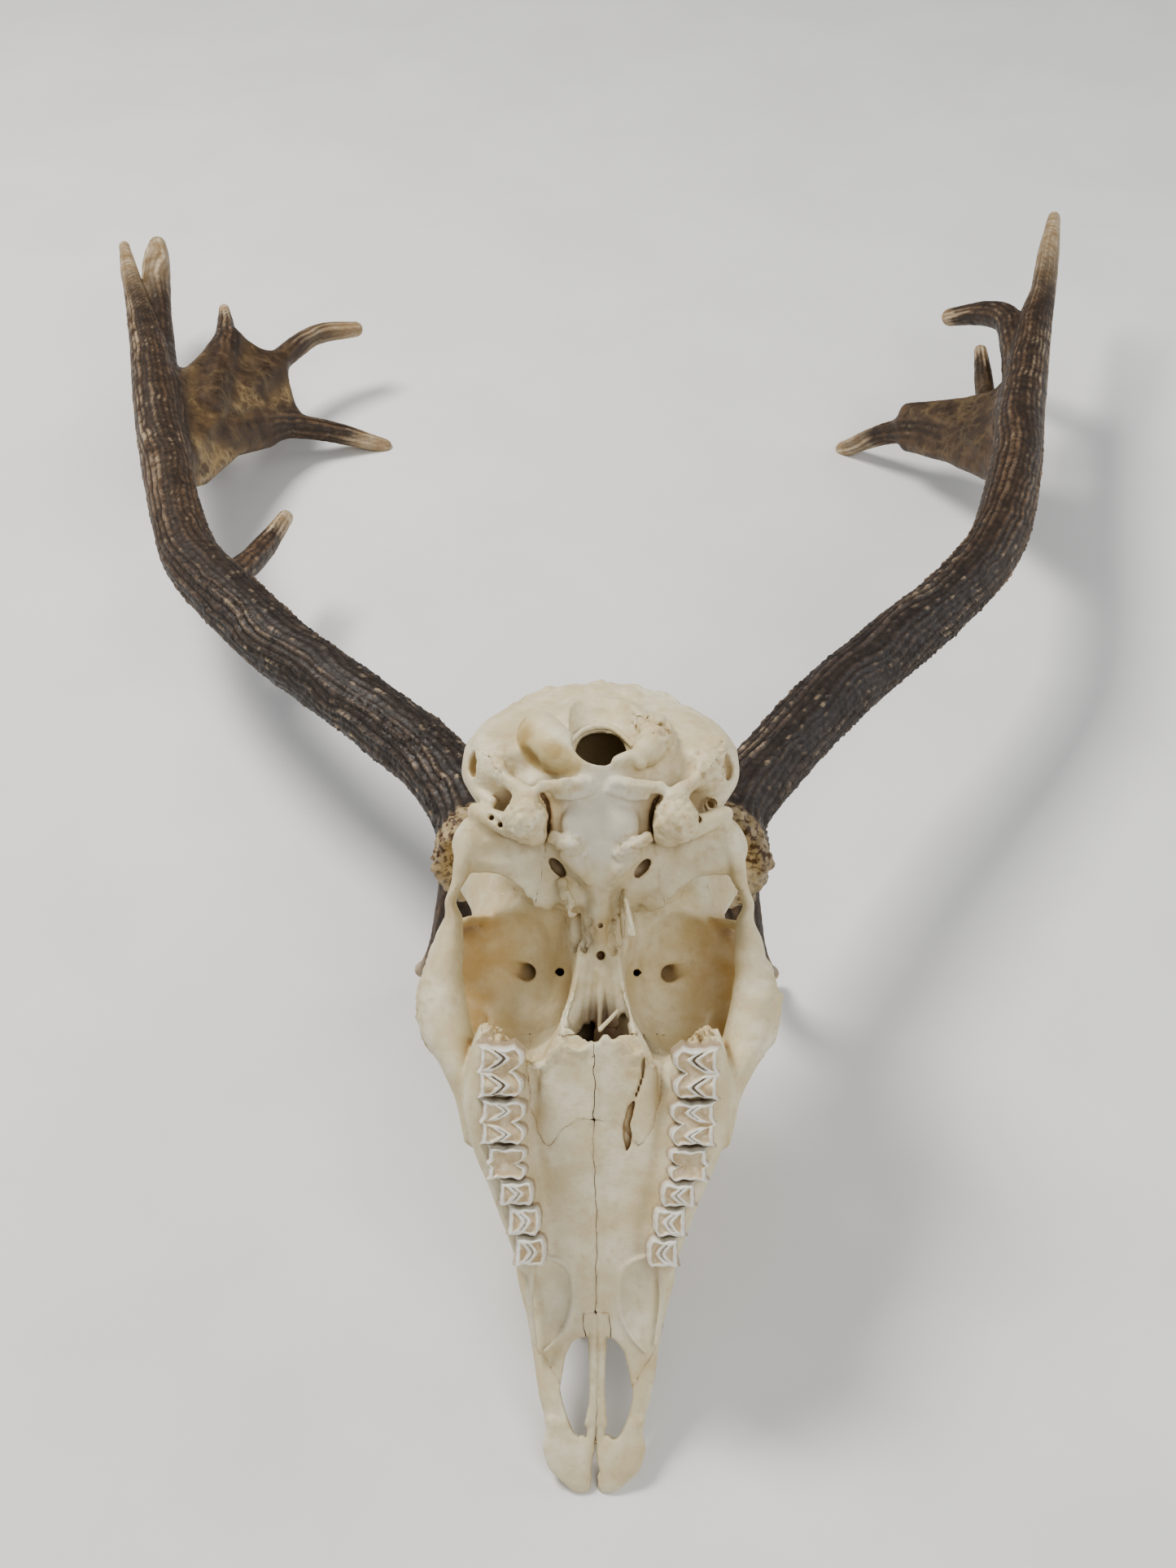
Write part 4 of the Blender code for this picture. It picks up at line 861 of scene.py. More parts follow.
TINE_BLEND = 6
FORK_BLEND = 1.4                     # keeps the slit between the tips of the beam and of tine b open
BURR_BASE = Vector((43.5, 50, 97))
BURR_AXIS = Vector((10, -14, 19)).normalized()
BURR_PROFILE = [(-4, 16), (0.5, 20), (6, 19), (11, 16)]
BURR_EXTRA = {-1: 0.6, 1: 2.6}       # the right burr is the wider one
BURR_PEARLS = 26                     # in each ring
BURR_RINGS = ((1.5, 19.6, 0.0), (6.5, 18.6, 0.5))      # way up, way out and turn in steps of a pearl
LEFT_PALE_TIPS = {"beam": 90, "b": 78, "c": 26, "d": 46, "e": 34, "trez": 24, "brow": 34}     # lengths in mm
RIGHT_PALE_TIPS = {"beam": 105, "b": 15, "c": 12, "e": 34, "brow": 34}
PALM_GLOW = {-1: 1.0, 1: 0.2}        # how light the middle of each palm is
BURR_CREAM = {-1: 0.3, 1: 0.9}       # how pale the side of each burr next to the orbit is
RIDGE_WIDTH = 3.2
BEAD_LENGTH = 5.5


def frames_along(path):
    """Unit directions of a path's steps, and two cross directions that turn with it as little as possible."""
    steps = np.diff(path[:, :3], axis=0)
    ahead = steps / np.linalg.norm(steps, axis=1, keepdims=True)
    across = np.cross(ahead[0], (0.3, 0.2, 1.0))
    crosses = []
    for direction in ahead:
        across = across - direction * (across @ direction)
        across = across / np.linalg.norm(across)
        crosses.append(across)
    across = np.array(crosses, np.float32)
    return ahead, across, np.cross(ahead, across)


class Bar:
    """One branch of an antler, and where points lie along and round it."""

    def __init__(self, rows):
        self.rows = rows
        self.path = smooth_path(rows, 3)
        self.ahead, self.across, self.up = frames_along(self.path)
        lengths = np.linalg.norm(np.diff(self.path[:, :3], axis=0), axis=1)
        self.reach = np.concatenate([[0], np.cumsum(lengths)])

    def locate(self, points):
        """For each point: clearance from the bar, length along it, and place across it in two directions."""
        best = np.full(len(points), 1e9, np.float32)
        along = np.zeros(len(points), np.float32)
        u, v = np.zeros_like(along), np.zeros_like(along)
        for k, (a, b) in enumerate(zip(self.path, self.path[1:])):
            span = self.reach[k + 1] - self.reach[k]
            offset = points - a[:3]
            t = np.clip(offset @ self.ahead[k] / span, 0, 1).astype(np.float32)
            gap = offset - t[:, None] * (b - a)[:3]
            clear = np.sqrt((gap * gap).sum(axis=1)) - (a[3] + t * (b[3] - a[3]))
            better = clear < best
            best[better] = clear[better]
            along[better] = (self.reach[k] + t * span)[better]
            u[better] = (offset @ self.across[k])[better]
            v[better] = (offset @ self.up[k])[better]
        return best, along, u, v


def antler_bars(side):
    """The branches of one antler by their names."""
    bars = dict(LEFT_BARS if side < 0 else RIGHT_BARS)
    bars["brow"] = [(side * x, *rest) for x, *rest in BROW_TINE]
    return {name: Bar(rows) for name, rows in bars.items()}


def burr_point(side, along, out=0.0, angle=0.0):
    """A point of the burr: a distance up its axis and out from it, at an angle round it."""
    first = BURR_AXIS.cross(Vector((0, 1, 0))).normalized()
    second = BURR_AXIS.cross(first)
    p = BURR_BASE + BURR_AXIS * along + (first * math.cos(angle) + second * math.sin(angle)) * out
    return side * p.x, p.y, p.z


def antler_field(side, bars):
    """One antler grown together from its branches, its palm and its burr, and cut flat at its foot."""
    webs = LEFT_WEBS if side < 0 else RIGHT_WEBS
    ends = np.concatenate([bar.path[:, :3] for bar in bars.values()])
    f = Field(ends.min(axis=0) - 26, ends.max(axis=0) + 26, ANTLER_PITCH)
    for name, bar in bars.items():
        f.join(rod(bar.rows), FORK_BLEND if name == "b" else TINE_BLEND)
    for web in webs:
        f.join(plate(web, WEB_HALF_THICKNESS), PALM_BLEND if web is webs[0] else 2)
    f.join(rod([(*burr_point(side, along), radius + BURR_EXTRA[side]) for along, radius in BURR_PROFILE]), 3)
    rng = np.random.default_rng(5 + side)
    for k in range(BURR_PEARLS):
        for along, out, turn in BURR_RINGS:
            angle = 2 * math.pi * (k + turn) / BURR_PEARLS + rng.uniform(-0.08, 0.08)
            radius = rng.uniform(1.8, 3.1)
            out_by = out + BURR_EXTRA[side] + rng.uniform(-0.8, 0.8)
            place = burr_point(side, along + rng.uniform(-1.2, 1.2), out_by, angle)
            f.join(ball(place, (radius, radius, radius)), 1.4)
    base = Vector(burr_point(side, -1.0))
    facing = Vector((side * BURR_AXIS.x, BURR_AXIS.y, BURR_AXIS.z))
    corner = spans(f.axes, np.array(base) - BURR_ROOM, np.array(base) + BURR_ROOM)
    x, y, z = f.coords(corner)
    below = -((x - base.x) * facing.x + (y - base.y) * facing.y + (z - base.z) * facing.z)
    f.d[corner] = np.maximum(f.d[corner], below)
    return f


# ---------------------------------------------------------------- surface finish

def blurred(solid, cells):
    """Share of material in a cube of 2 cells + 1 round each grid point."""
    out = solid.astype(np.float32)
    for axis in range(3):
        margin = [(cells + 1, cells) if k == axis else (0, 0) for k in range(3)]
        total = np.cumsum(np.pad(out, margin, mode="edge"), axis=axis)
        n = out.shape[axis]
        front = [slice(None)] * 3
        back = [slice(None)] * 3
        front[axis], back[axis] = slice(2 * cells + 1, 2 * cells + 1 + n), slice(0, n)
        out = (total[tuple(front)] - total[tuple(back)]) / (2 * cells + 1)
    return out


def sample(grid, low, pitch, points):
    """Values of a grid at points, straight between the grid's own."""
    q = (points - low) / np.float32(pitch)
    q = np.clip(q, 0, np.array(grid.shape) - 1.001)
    cell = q.astype(np.int32)
    f = q - cell
    total = np.zeros(len(points), np.float32)
    for corner in CORNERS:
        weight = np.prod(np.where(corner, f, 1 - f), axis=1)
        total += weight * grid[tuple((cell + corner).T)]
    return total


def slope_of(grid, low, pitch, points):
    """Unit direction in which a grid's values rise fastest at points."""
    steps = pitch * np.eye(3, dtype=np.float32)
    rise = np.stack([sample(grid, low, pitch, points + step) - sample(grid, low, pitch, points - step)
                     for step in steps], axis=1)
    return rise / np.maximum(np.linalg.norm(rise, axis=1, keepdims=True), 1e-6)


def sharpened(points, normals, inward, outward, in_bone, in_skull):
    """Moves the bevelled edge of a suture out to the skull's surface and up to the cut.

    Inward is the points' distance in the whole skull and outward the way out of it. In_bone and in_skull give
    the distances of the bone and of the whole skull anywhere. A point is left alone where the bone's own
    surface comes first, as on thin plates. The points come back with True for those of such an edge.
    """
    moved = points - outward * inward[:, None]
    across = normals - outward * (normals * outward).sum(axis=1, keepdims=True)
    across = across / np.maximum(np.linalg.norm(across, axis=1, keepdims=True), 1e-6)
    probe = moved - 1.3 * outward
    short = -in_bone(probe)
    cut = -short - in_skull(probe) > 0.15
    rim = (inward > -0.75) & (inward < -0.06) & (short < 0.9) & cut
    moved = moved + across * np.maximum(short, 0)[:, None]
    return np.where(rim[:, None], moved, points), rim


def near(points, centre, radii):
    """1 at a centre, falling smoothly to 0 at the radii."""
    r = np.sqrt((((points - np.array(centre)) / np.array(radii)) ** 2).sum(axis=1))
    return 1 - step_up(r, 0.45, 1.0)


def both_sides(points):
    """The same points with x counted from the middle plane."""
    return np.abs(points) * (1, 0, 0) + points * (0, 1, 1)


def strongest(points, places):
    """The most that any place gives, of rows of a centre, its radii and an amount."""
    return np.maximum.reduce([amount * near(points, centre, radii) for centre, radii, amount in places])


# Places on both sides of the skull: spongy or knotted, lumpy, warm in colour, and warm in blotches
ROUGH_PLACES = (
    ((27, 34, 19), (14, 14, 14), 1.0), ((12, 43, 21), (11, 7, 6), 1.0), ((36, 106, 16), (9, 13, 24), 1.0),
    ((63, 105, 43), (12, 30, 22), 0.9), ((40, 14, 34), (12, 16, 18), 0.7), ((13, 22, 18), (12, 5, 5), 0.75),
    ((10, 64, 29), (8, 10, 6), 0.8), ((46, 34, 33), (9, 12, 8), 0.6), ((12, 117, 5), (12, 8, 5), 0.6),
    ((30, -6, 74), (30, 16, 16), 0.62), ((0, -17, 79), (9, 7, 8), 0.9))
LUMPY_PLACES = (
    ((18, -12, 76), (34, 18, 20), 1.0), ((64, 104, 43), (14, 32, 24), 1.1), ((27, 34, 18), (13, 12, 14), 0.8),
    ((13, 43, 21), (11, 6, 6), 0.7), ((13, 22, 18), (14, 6, 6), 0.8), ((38, 14, 34), (12, 14, 16), 0.6))
WARM_PLACES = (((35, 106, 18), (11, 15, 26), 0.5), ((38, 10, 44), (14, 14, 14), 0.25))
BLOTCHED_PLACES = (
    ((0, 78, 36), (8, 14, 8), 0.55), ((63, 104, 43), (11, 30, 18), 0.5), ((30, 16, 30), (20, 16, 18), 0.4),
    ((13, 121, 6), (9, 7, 6), 0.5))


def bone_roughness(points):
    """How coarse the bone's surface is, from 0, polished, to 1, spongy."""
    p = both_sides(points)
    rough = 0.2 + 0.25 * step_up(-points[:, 1], -50, -10)
    rough = largest(rough, strongest(p, ROUGH_PLACES), near(points, (20, 2, 36), (10, 12, 15)))
    rough *= 1 - 0.8 * near(p, (5, 33, 21), (8, 9, 6))
    rough *= 1 - 0.9 * near(points, (-20, 4, 36), (12, 13, 16))
    return rough


def bone_relief(points, rough):
    """How far the bone's surface rises, in millimetres."""
    soft = 0.30 * fbm(points, 12, 3, 3) + 0.08 * noise(points, 3.2, 9)
    pits = step_up(-spots(points, 2.1, 21), -0.40, -0.18)
    knobs = 0.9 * (creases(points, 3.6, 2, 33) - 0.5) - 0.45 * pits
    waves = 0.7 * noise(points, 5.2, 11) + 0.5 * noise(points, 2.4, 12)
    lumps = strongest(both_sides(points), LUMPY_PLACES) * waves
    return soft * (0.6 + 0.6 * rough) + knobs * step_up(rough, 0.3, 0.95) + lumps


def bone_masks(points, crevice_shade, rough):
    """Where the bone is warm, pale or worn, and where shade is painted into crevices, the eye sockets and
    holes, each from 0 to 1.
    """
    p = both_sides(points)
    x, y, z = p[:, 0], points[:, 1], points[:, 2]
    cloud = 0.5 + 0.5 * fbm(points, 18, 3, 41)
    blotch = step_up(fbm(points, 7, 2, 43), 0.05, 0.6)
    inside = step_up(z, 44, 56) * step_up(y, 56, 66) * (1 - step_up(y, 118, 128)) * (1 - step_up(x, 58, 64))
    inside *= 1 - step_up(z, 78, 84)
    # Eye sockets: a tan of their own, with painted shade that is strongest towards the outer side
    socket = inside * (0.24 + 0.86 * step_up(x, 24, 50) * step_up(y, 68, 74) + 0.25 * step_up(-x, -20, -6))
    # Painted shade where bone crowds round a point
    depths = step_up(crevice_shade, 0.3, 0.6)
    # Painted shade inside the great hole, the holes behind the palate, the nasal cavity, the canal over the
    # orbit and the slit beside the ear bulla
    foramen = near(points, (0, 20, 52), (26, 30, 27)) * step_up(y + 0.6 * (z - 48), 1, 6)
    holes = near(points, (4, 114, 40), (22, 20, 17)) * step_up(z, 22, 34)
    nose = step_up(y, 130, 150) * (1 - step_up(x, 18, 24)) * step_up(z, 9, 20) * (1 - step_up(y, 200, 240))
    nose *= 1 - step_up(z - 0.31 * (223 - y), 44, 46.5)
    pinholes = near(p, (14.6, 92.6, 56), (3, 3.4, 16)) * depths
    crack = near(p, (19.4, 34, 27), (4, 13, 11)) * depths
    # The bone's own warm tone and blotches, together with painted shade in the sockets, crevices and the slit
    # beside the ear bulla
    warm_tone_and_shade = largest(
        socket * (0.7 + 0.3 * cloud), 0.22 * cloud, 0.45 * depths, crack, strongest(p, WARM_PLACES),
        strongest(p, BLOTCHED_PLACES) * blotch)
    bare_condyle = 1 - step_up(Bar(LEFT_CONDYLE).locate(points)[0], 0.2, 1.3)
    return {
        "crevice_shade": crevice_shade,
        "warm_tone_and_shade": np.clip(warm_tone_and_shade, 0, 1),
        "hole_shade": np.clip(largest(foramen, holes, nose, pinholes, 0.45 * crack), 0, 1),
        "ochre": bare_condyle * step_up(0.8 * y - 0.6 * points[:, 0], 12, 15.5),
        "pale": np.clip(near(p, (0, 34, 20), (22, 26, 12)) + 0.5 * near(p, (16, 206, 4), (14, 24, 5)), 0, 1),
        "rough": rough}


def hashed(*numbers):
    """A repeatable number from 0 to 1 for each row of whole numbers."""
    rows = np.stack([np.broadcast_to(n, numbers[0].shape) for n in numbers], axis=1)
    return lattice(rows.astype(np.int64), 7)


def ridged(bar, along, u, v, seed):
    """Ridges that run along a bar, with a row of beads on each: ridge height, bead height and paleness."""
    count = max(8, int(round(2 * math.pi * np.median(bar.path[:, 3]) / RIDGE_WIDTH)))
    place = np.stack([u, v, along], axis=1)
    sway = 0.9 * noise(place + seed, 30, 57) + 0.35 * noise(place + seed, 9, 58)
    turn = np.arctan2(v, u) / (2 * math.pi) * count + sway
    number = np.mod(np.floor(turn), count)
    across = turn - np.floor(turn)
    wave = np.sin(along / 23 + 9 * hashed(number, 5, seed))
    swell = 0.2 + 0.8 * hashed(number, 4, seed) * (0.6 + 0.4 * wave)
    ridge = swell * np.sin(math.pi * across) ** 1.2
    walk = along / BEAD_LENGTH * (0.8 + 0.5 * hashed(number, 2, seed)) + 9 * hashed(number, 3, seed)
    kind = hashed(number, np.floor(walk), seed + 5)
    spine = np.sin(math.pi * across) ** 3
    bead = np.sin(math.pi * (walk - np.floor(walk))) ** 0.6 * spine * (0.2 + 0.8 * kind)
    pale = step_up(kind, 0.5, 0.95) * step_up(bead, 0.25, 0.7)
    pale = pale + 0.55 * step_up(swell, 0.45, 0.8) * step_up(spine, 0.6, 1)
    return ridge, bead * (0.4 + swell), pale


def antler_finish(points, normals, bars, side):
    """Heights that ridge and bead an antler, and its masks."""
    near_bar = {name: bar.locate(points) for name, bar in bars.items()}
    closest = np.minimum.reduce([found[0] for found in near_bar.values()])
    pale_tips = LEFT_PALE_TIPS if side < 0 else RIGHT_PALE_TIPS
    sums = {}
    for seed, (name, (clear, along, u, v)) in enumerate(near_bar.items()):
        ridge, bead, light = ridged(bars[name], along, u, v, seed)
        length = bars[name].reach[-1]
        reach = pale_tips[name]
        ragged = 22 * (ridge - 0.4) + 10 * noise(points, 12, 67)
        here = {"all": 1, "ridges": ridge, "beads": bead, "pale": light,
                "tip": step_up(along + ragged, length - reach, length - 0.15 * reach)}
        if name == "beam":
            here |= {"shaft": 1 - step_up(along, 190, 320), "low": 1 - step_up(along, 260, 400),
                     "rear_rim_highlight": step_up(along, 230, 330)}
        elif name in "cde":
            here["root"] = 1 - step_up(along, 30, 62)
        weight = np.exp(-np.maximum(clear - closest, 0) / 1.5)
        for word, value in here.items():
            sums[word] = (sums.get(word, 0) + weight * value).astype(np.float32)
    words = ("ridges", "beads", "pale", "tip", "shaft", "low", "rear_rim_highlight", "root")
    ridges, beads, pale, tip, shaft, low, rear_rim_highlight, root = (sums[word] / sums["all"] for word in words)
    blade = np.maximum(step_up(closest, 0.8, 5) * (1 - 0.7 * shaft), 0.9 * root)
    up_axis = np.array([side * BURR_AXIS.x, BURR_AXIS.y, BURR_AXIS.z])
    rise = (points - np.array(burr_point(side, 0))) @ up_axis
    burr = near(points, burr_point(side, 2.5), (33, 33, 33)) * (1 - step_up(rise, 9, 15))
    coarse = (0.35 + 0.65 * low) * (1 - 0.75 * tip) * (1 - 0.85 * blade)
    grains = step_up(noise(points, 26, 77) + 0.5 * side * normals[:, 0], -0.1, 0.5) * shaft
    grain = 1 - step_up(spots(points, 2.7, 71), 0.15, 0.5)
    fine = 1 - creases(points * (1, 1, 0.6), 9, 3, 83)
    veins = step_up(fine, 0.72, 0.95) + 0.8 * step_up(1 - creases(points, 19, 2, 84), 0.8, 0.97)
    height = coarse * (1.5 * (ridges - 0.4) + 0.9 * beads + 0.7 * grain * grains)
    height += 0.3 * fbm(points, 17, 2, 91) + 0.22 * veins * blade
    height += burr * 1.2 * (creases(points, 4.6, 2, 95) - 0.45)
    underside = points[:, 1] + 0.3 * noise(points, 5, 97)
    # Painted highlight: ridges on the far part of the beam are paler on the side that faces outwards
    rear_rim_highlight *= step_up(side * normals[:, 0] - 0.4 * normals[:, 2], -0.1, 0.7) * step_up(ridges, 0.15, 0.45)
    return height, {"crest": np.clip(pale * (0.35 + 0.65 * coarse) * (1 - blade) + 0.75 * rear_rim_highlight, 0, 1),
                    "groove": 1 - step_up(ridges, 0.1, 0.5), "tip": tip, "blade": blade,
                    "burr": burr, "shaft": shaft, "heart": step_up(closest, 1.5, 11) * PALM_GLOW[side],
                    "cream": burr * step_up(underside, 50, 60) * BURR_CREAM[side]}


# ---------------------------------------------------------------- teeth

TOOTH_LENGTHS = (10.8, 10.5, 9.0, 12.2, 16.5, 19.0)     # second premolar to last molar
TOOTH_INNER = (17.9, 20.0, 22.4, 25.0, 25.4, 26.5)
TOOTH_OUTER = (29.2, 31.9, 35.2, 39.4, 42.0, 43.0)
TOOTH_LOBES = (1, 1, 1, 2, 2, 2)
TOOTH_WEAR = (0.8, 0.85, 0.8, 1.0, 0.86, 0.25)            # 0 freshly pointed, 1 worn flat
TOOTH_ROW_FRONT = 191.0
CROWN_TOP = -8.6
ENAMEL = 1.0


def tooth_plan(x, y):
    """Of the right row seen along z: distances outside its crowns and its pits, cusps and freshness."""
    shape = np.broadcast(x, y).shape
    outside, pit = np.full(shape, FAR, np.float32), np.full(shape, FAR, np.float32)
    cusp, fresh = np.zeros(shape, np.float32), np.zeros(shape, np.float32)
    front = TOOTH_ROW_FRONT
    rows = zip(TOOTH_LENGTHS, TOOTH_INNER, TOOTH_OUTER, TOOTH_LOBES, TOOTH_WEAR)
    for length, inner, outer, lobes, wear in rows:
        width = outer - inner
        middle = front - length / 2
        bend = 0.0875 * np.sin(y * 1.9 + length)
        across = np.clip((x + bend - inner) / width, -2, 3)
        whole = (y + 0.2 * np.sin(x * 1.3) - middle) / (length / 2)
        beat = np.abs(np.sin(math.pi * whole)) if lobes == 2 else np.sqrt(np.clip(1 - whole ** 2, 0, 1))
        tongue_side = 0.24 * (1 - beat) ** 1.4
        cheek_side = 0.90 + 0.10 * (1 - beat) ** 3
        pinch = 0.93 + 0.05 * np.cos(math.pi * 2 * across)
        edge = largest((tongue_side - across) * width, (across - cheek_side) * width,
                       (np.abs(whole) - pinch) * length / 2)
        outside = smooth_min(outside, edge, 0.5)
        for lobe in range(lobes):
            size = length / lobes
            w = (y - (front - size * (lobe + 0.5))) / (size / 2)
            fold = across - 0.40 - 0.42 * np.abs(w) ** 1.3
            slit = largest(np.abs(fold) * width * 0.8 - 0.36 * (1 - wear) - 0.12,
                           (np.abs(w) - 0.78 + 0.3 * wear) * size / 2)
            if wear < 1:
                pit = np.minimum(pit, slit)
            peak = np.exp(-(w / 0.5) ** 2 - ((across - 0.70) / 0.17) ** 2)
            peak = peak + 0.6 * np.exp(-(w / 0.6) ** 2 - ((across - 0.14) / 0.16) ** 2)
            cusp = np.maximum(cusp, peak * (1.15 - wear) * (np.abs(w) < 1.2))
        fresh = np.where(np.abs(whole) < 1, 1 - wear, fresh)
        front -= length
    return outside, pit, cusp, fresh


def enamel_depth(outside, pit):
    """Distance in from the nearest strip of enamel: below 0 on enamel, above on dentine."""
    return np.minimum(np.abs(outside + ENAMEL * 0.55), np.abs(pit - ENAMEL * 0.45)) - ENAMEL * 0.5


def tooth_field():
    """The right row of cheek teeth, each crown with its chewing surface."""
    f = Field((12, 108, -14), (48, 196, 16), TOOTH_PITCH)
    x, y, z = f.coords(tuple(slice(0, n) for n in f.d.shape))
    outside, pit, cusp, _ = tooth_plan(x[:, :, 0], y[:, :, 0])
    relief = 1.3 * step_up(enamel_depth(outside, pit), -0.25, 1.1) + 2.4 * step_up(-pit, -0.35, 0.5)
    relief = relief - 2.2 * cusp + 0.9 * step_up(outside, -0.9, 0.1)
    top = CROWN_TOP + relief + 0.35 * np.sin(y[:, :, 0] * 0.37 + 1)
    wall = outside[:, :, None] - 0.13 * np.minimum(z - CROWN_TOP, 9) + 0.5
    f.d = -smooth_min(-wall, z - top[:, :, None], 1.0)
    f.d = np.maximum(f.d, z - 15).astype(np.float32)
    return f


# ---------------------------------------------------------------- pieces

SHARP_EDGE = math.radians(55)        # creases over this stay sharp


def piece(name, points, quads, masks, material, nodes):
    """A mesh object in the resting pose, with its masks, that stands for CAD nodes."""
    turned = points * MM @ np.array(RESTING.to_3x3()).T + np.array(RESTING.translation)
    turned[:, 2] = np.maximum(turned[:, 2], 0)
    mesh = bpy.data.meshes.new(name)
    mesh.vertices.add(len(points))
    mesh.vertices.foreach_set("co", turned.astype(np.float32).ravel())
    mesh.loops.add(quads.size)
    mesh.loops.foreach_set("vertex_index", quads.astype(np.int32).ravel())
    mesh.polygons.add(len(quads))
    mesh.polygons.foreach_set("loop_start", np.arange(0, quads.size, 4, dtype=np.int32))
    mesh.update(calc_edges=True)
    mesh.validate()
    mesh.shade_smooth()
    mesh.set_sharp_from_angle(angle=SHARP_EDGE)
    for word, values in masks.items():
        mesh.attributes.new(word, "FLOAT", "POINT").data.foreach_set("value", values.astype(np.float32))
    mesh.materials.append(material)
    made = bpy.data.objects.new(name, mesh)
    bpy.context.scene.collection.objects.link(made)
    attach(made, "root")
    if nodes:
        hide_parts(*nodes)


# ---------------------------------------------------------------- materials

class Finish:
    """A Principled material, built up by short calls."""

    def __init__(self, name, color):
        self.material = bpy.data.materials.new(name)
        self.material.use_nodes = True
        self.material.diffuse_color = (*color, 1)
        self.tree = self.material.node_tree
        self.shader = self.tree.nodes["Principled BSDF"]
        self.place = self.tree.nodes.new("ShaderNodeTexCoord").outputs["Object"]

    def wire(self, source, socket):
        if isinstance(source, bpy.types.NodeSocket):
            self.tree.links.new(source, socket)
        else:
            socket.default_value = (*source, 1) if socket.type == "RGBA" else source

    def node(self, kind, output, sockets, **settings):
        """An output of a new node, whose sockets are set or wired to other outputs."""
        made = self.tree.nodes.new("ShaderNode" + kind)
        for word, value in settings.items():
            setattr(made, word, value)
        for socket, source in sockets.items():
            self.wire(source, made.inputs[socket])
        return made.outputs[output]

    def mask(self, name):
        return self.node("Attribute", "Fac", {}, attribute_name=name)

    def noise(self, size, detail=4.0, roughness=0.55, output="Fac"):
        """Noise with features about size millimetres across."""
        return self.node("TexNoise", output, {"Scale": 1000.0 / size, "Detail": detail,
                                              "Roughness": roughness, "Vector": self.place})

    def warped(self, size, amount):
        """The place, shifted about by a noise of the given size by up to half the amount in millimetres."""
        return self.node("VectorMath", "Vector", {0: self.noise(size, output="Color"), 1: [amount * MM] * 3,
                                                  2: self.place}, operation="MULTIPLY_ADD")

    def cells(self, size, feature="F1", place=None):
        return self.node("TexVoronoi", "Distance", {"Scale": 1000.0 / size, "Vector": place or self.place},
                         feature=feature)

    def between(self, value, low, high, first=0.0, last=1.0):
        """The value, stretched smoothly so that low to high becomes first to last."""
        sockets = {"Value": value, "From Min": low, "From Max": high, "To Min": first, "To Max": last}
        return self.node("MapRange", "Result", sockets, interpolation_type="SMOOTHSTEP")

    def patches(self, size, detail, low, high, first=0.0, last=1.0):
        return self.between(self.noise(size, detail), low, high, first, last)

    def math(self, operation, a, b):
        return self.node("Math", "Value", {0: a, 1: b}, operation=operation)

    def times(self, a, b):
        return self.math("MULTIPLY", a, b)

    def mix(self, amount, a, b):
        """Color a, turned towards color b by an amount. The color sockets are the seventh and eighth."""
        return self.node("Mix", 2, {0: amount, 6: a, 7: b}, data_type="RGBA")

    def tint(self, color, mask, strength, tone):
        """The color, turned towards a tone where the mask is high."""
        return self.mix(self.times(self.mask(mask), strength), color, tone)

    def bump(self, height, depth, under=None):
        """A normal raised by a height, over another bump's normal if there is one."""
        sockets = {"Distance": depth * MM, "Height": height}
        if under is not None:
            sockets["Normal"] = under
        return self.node("Bump", "Normal", sockets)

    def done(self, color, roughness, normal):
        for word, source in (("Base Color", color), ("Roughness", roughness), ("Normal", normal)):
            self.wire(source, self.shader.inputs[word])
        return self.material


def bone_material():
    m = Finish("bleached_bone", (0.8, 0.75, 0.65))
    cloud = m.patches(16, 5, 0.34, 0.68)
    color = m.mix(cloud, (0.655, 0.565, 0.355), (0.80, 0.75, 0.565))
    color = m.mix(m.patches(5, 4, 0.48, 0.74, 0.0, 0.65), color, (0.60, 0.49, 0.30))
    color = m.tint(color, "pale", 0.8, (0.74, 0.72, 0.62))
    # Warm tone of the bone, which also carries painted shade in the eye sockets and crevices
    warm_tone_and_shade = m.times(m.mask("warm_tone_and_shade"), m.patches(9, 4, 0.3, 0.7, 0.6, 1.0))
    color = m.mix(warm_tone_and_shade, color, (0.50, 0.32, 0.115))
    speck = m.times(m.patches(2.6, 3, 0.5, 0.72), m.mask("rough"))
    color = m.mix(m.times(speck, 0.7), color, (0.54, 0.40, 0.20))
    patch = m.times(m.patches(8, 4, 0.44, 0.62), m.between(m.mask("rough"), 0.3, 0.8))
    color = m.mix(m.times(patch, 0.5), color, (0.62, 0.49, 0.27))
    ochre = m.mix(m.patches(11, 3, 0.35, 0.65), (0.47, 0.33, 0.125), (0.62, 0.50, 0.27))
    color = m.tint(color, "ochre", 0.9, ochre)
    # Painted shade in crevices, in a dark brown
    color = m.mix(m.between(m.mask("crevice_shade"), 0.34, 0.8, 0.0, 0.85), color, (0.36, 0.23, 0.115))
    # Painted shade in deep places such as the eye sockets
    color = m.mix(m.between(m.mask("deep_shade"), 0.34, 0.62, 0.0, 0.6), color, (0.44, 0.30, 0.16))
    color = m.tint(color, "seam", 0.5, (0.44, 0.31, 0.17))
    # Painted shade inside holes: the great hole, the nasal cavity, the holes behind the palate and small
    # canals
    color = m.mix(m.mask("hole_shade"), color, (0.11, 0.06, 0.028))
    rough = m.patches(6, 3, 0.2, 0.8, 0.42, 0.62)
    normal = m.bump(m.noise(1.3, 5, 0.65), 0.16)
    normal = m.bump(m.between(m.cells(1.1), 0.0, 0.3), 0.07, normal)
    return m.done(color, rough, normal)


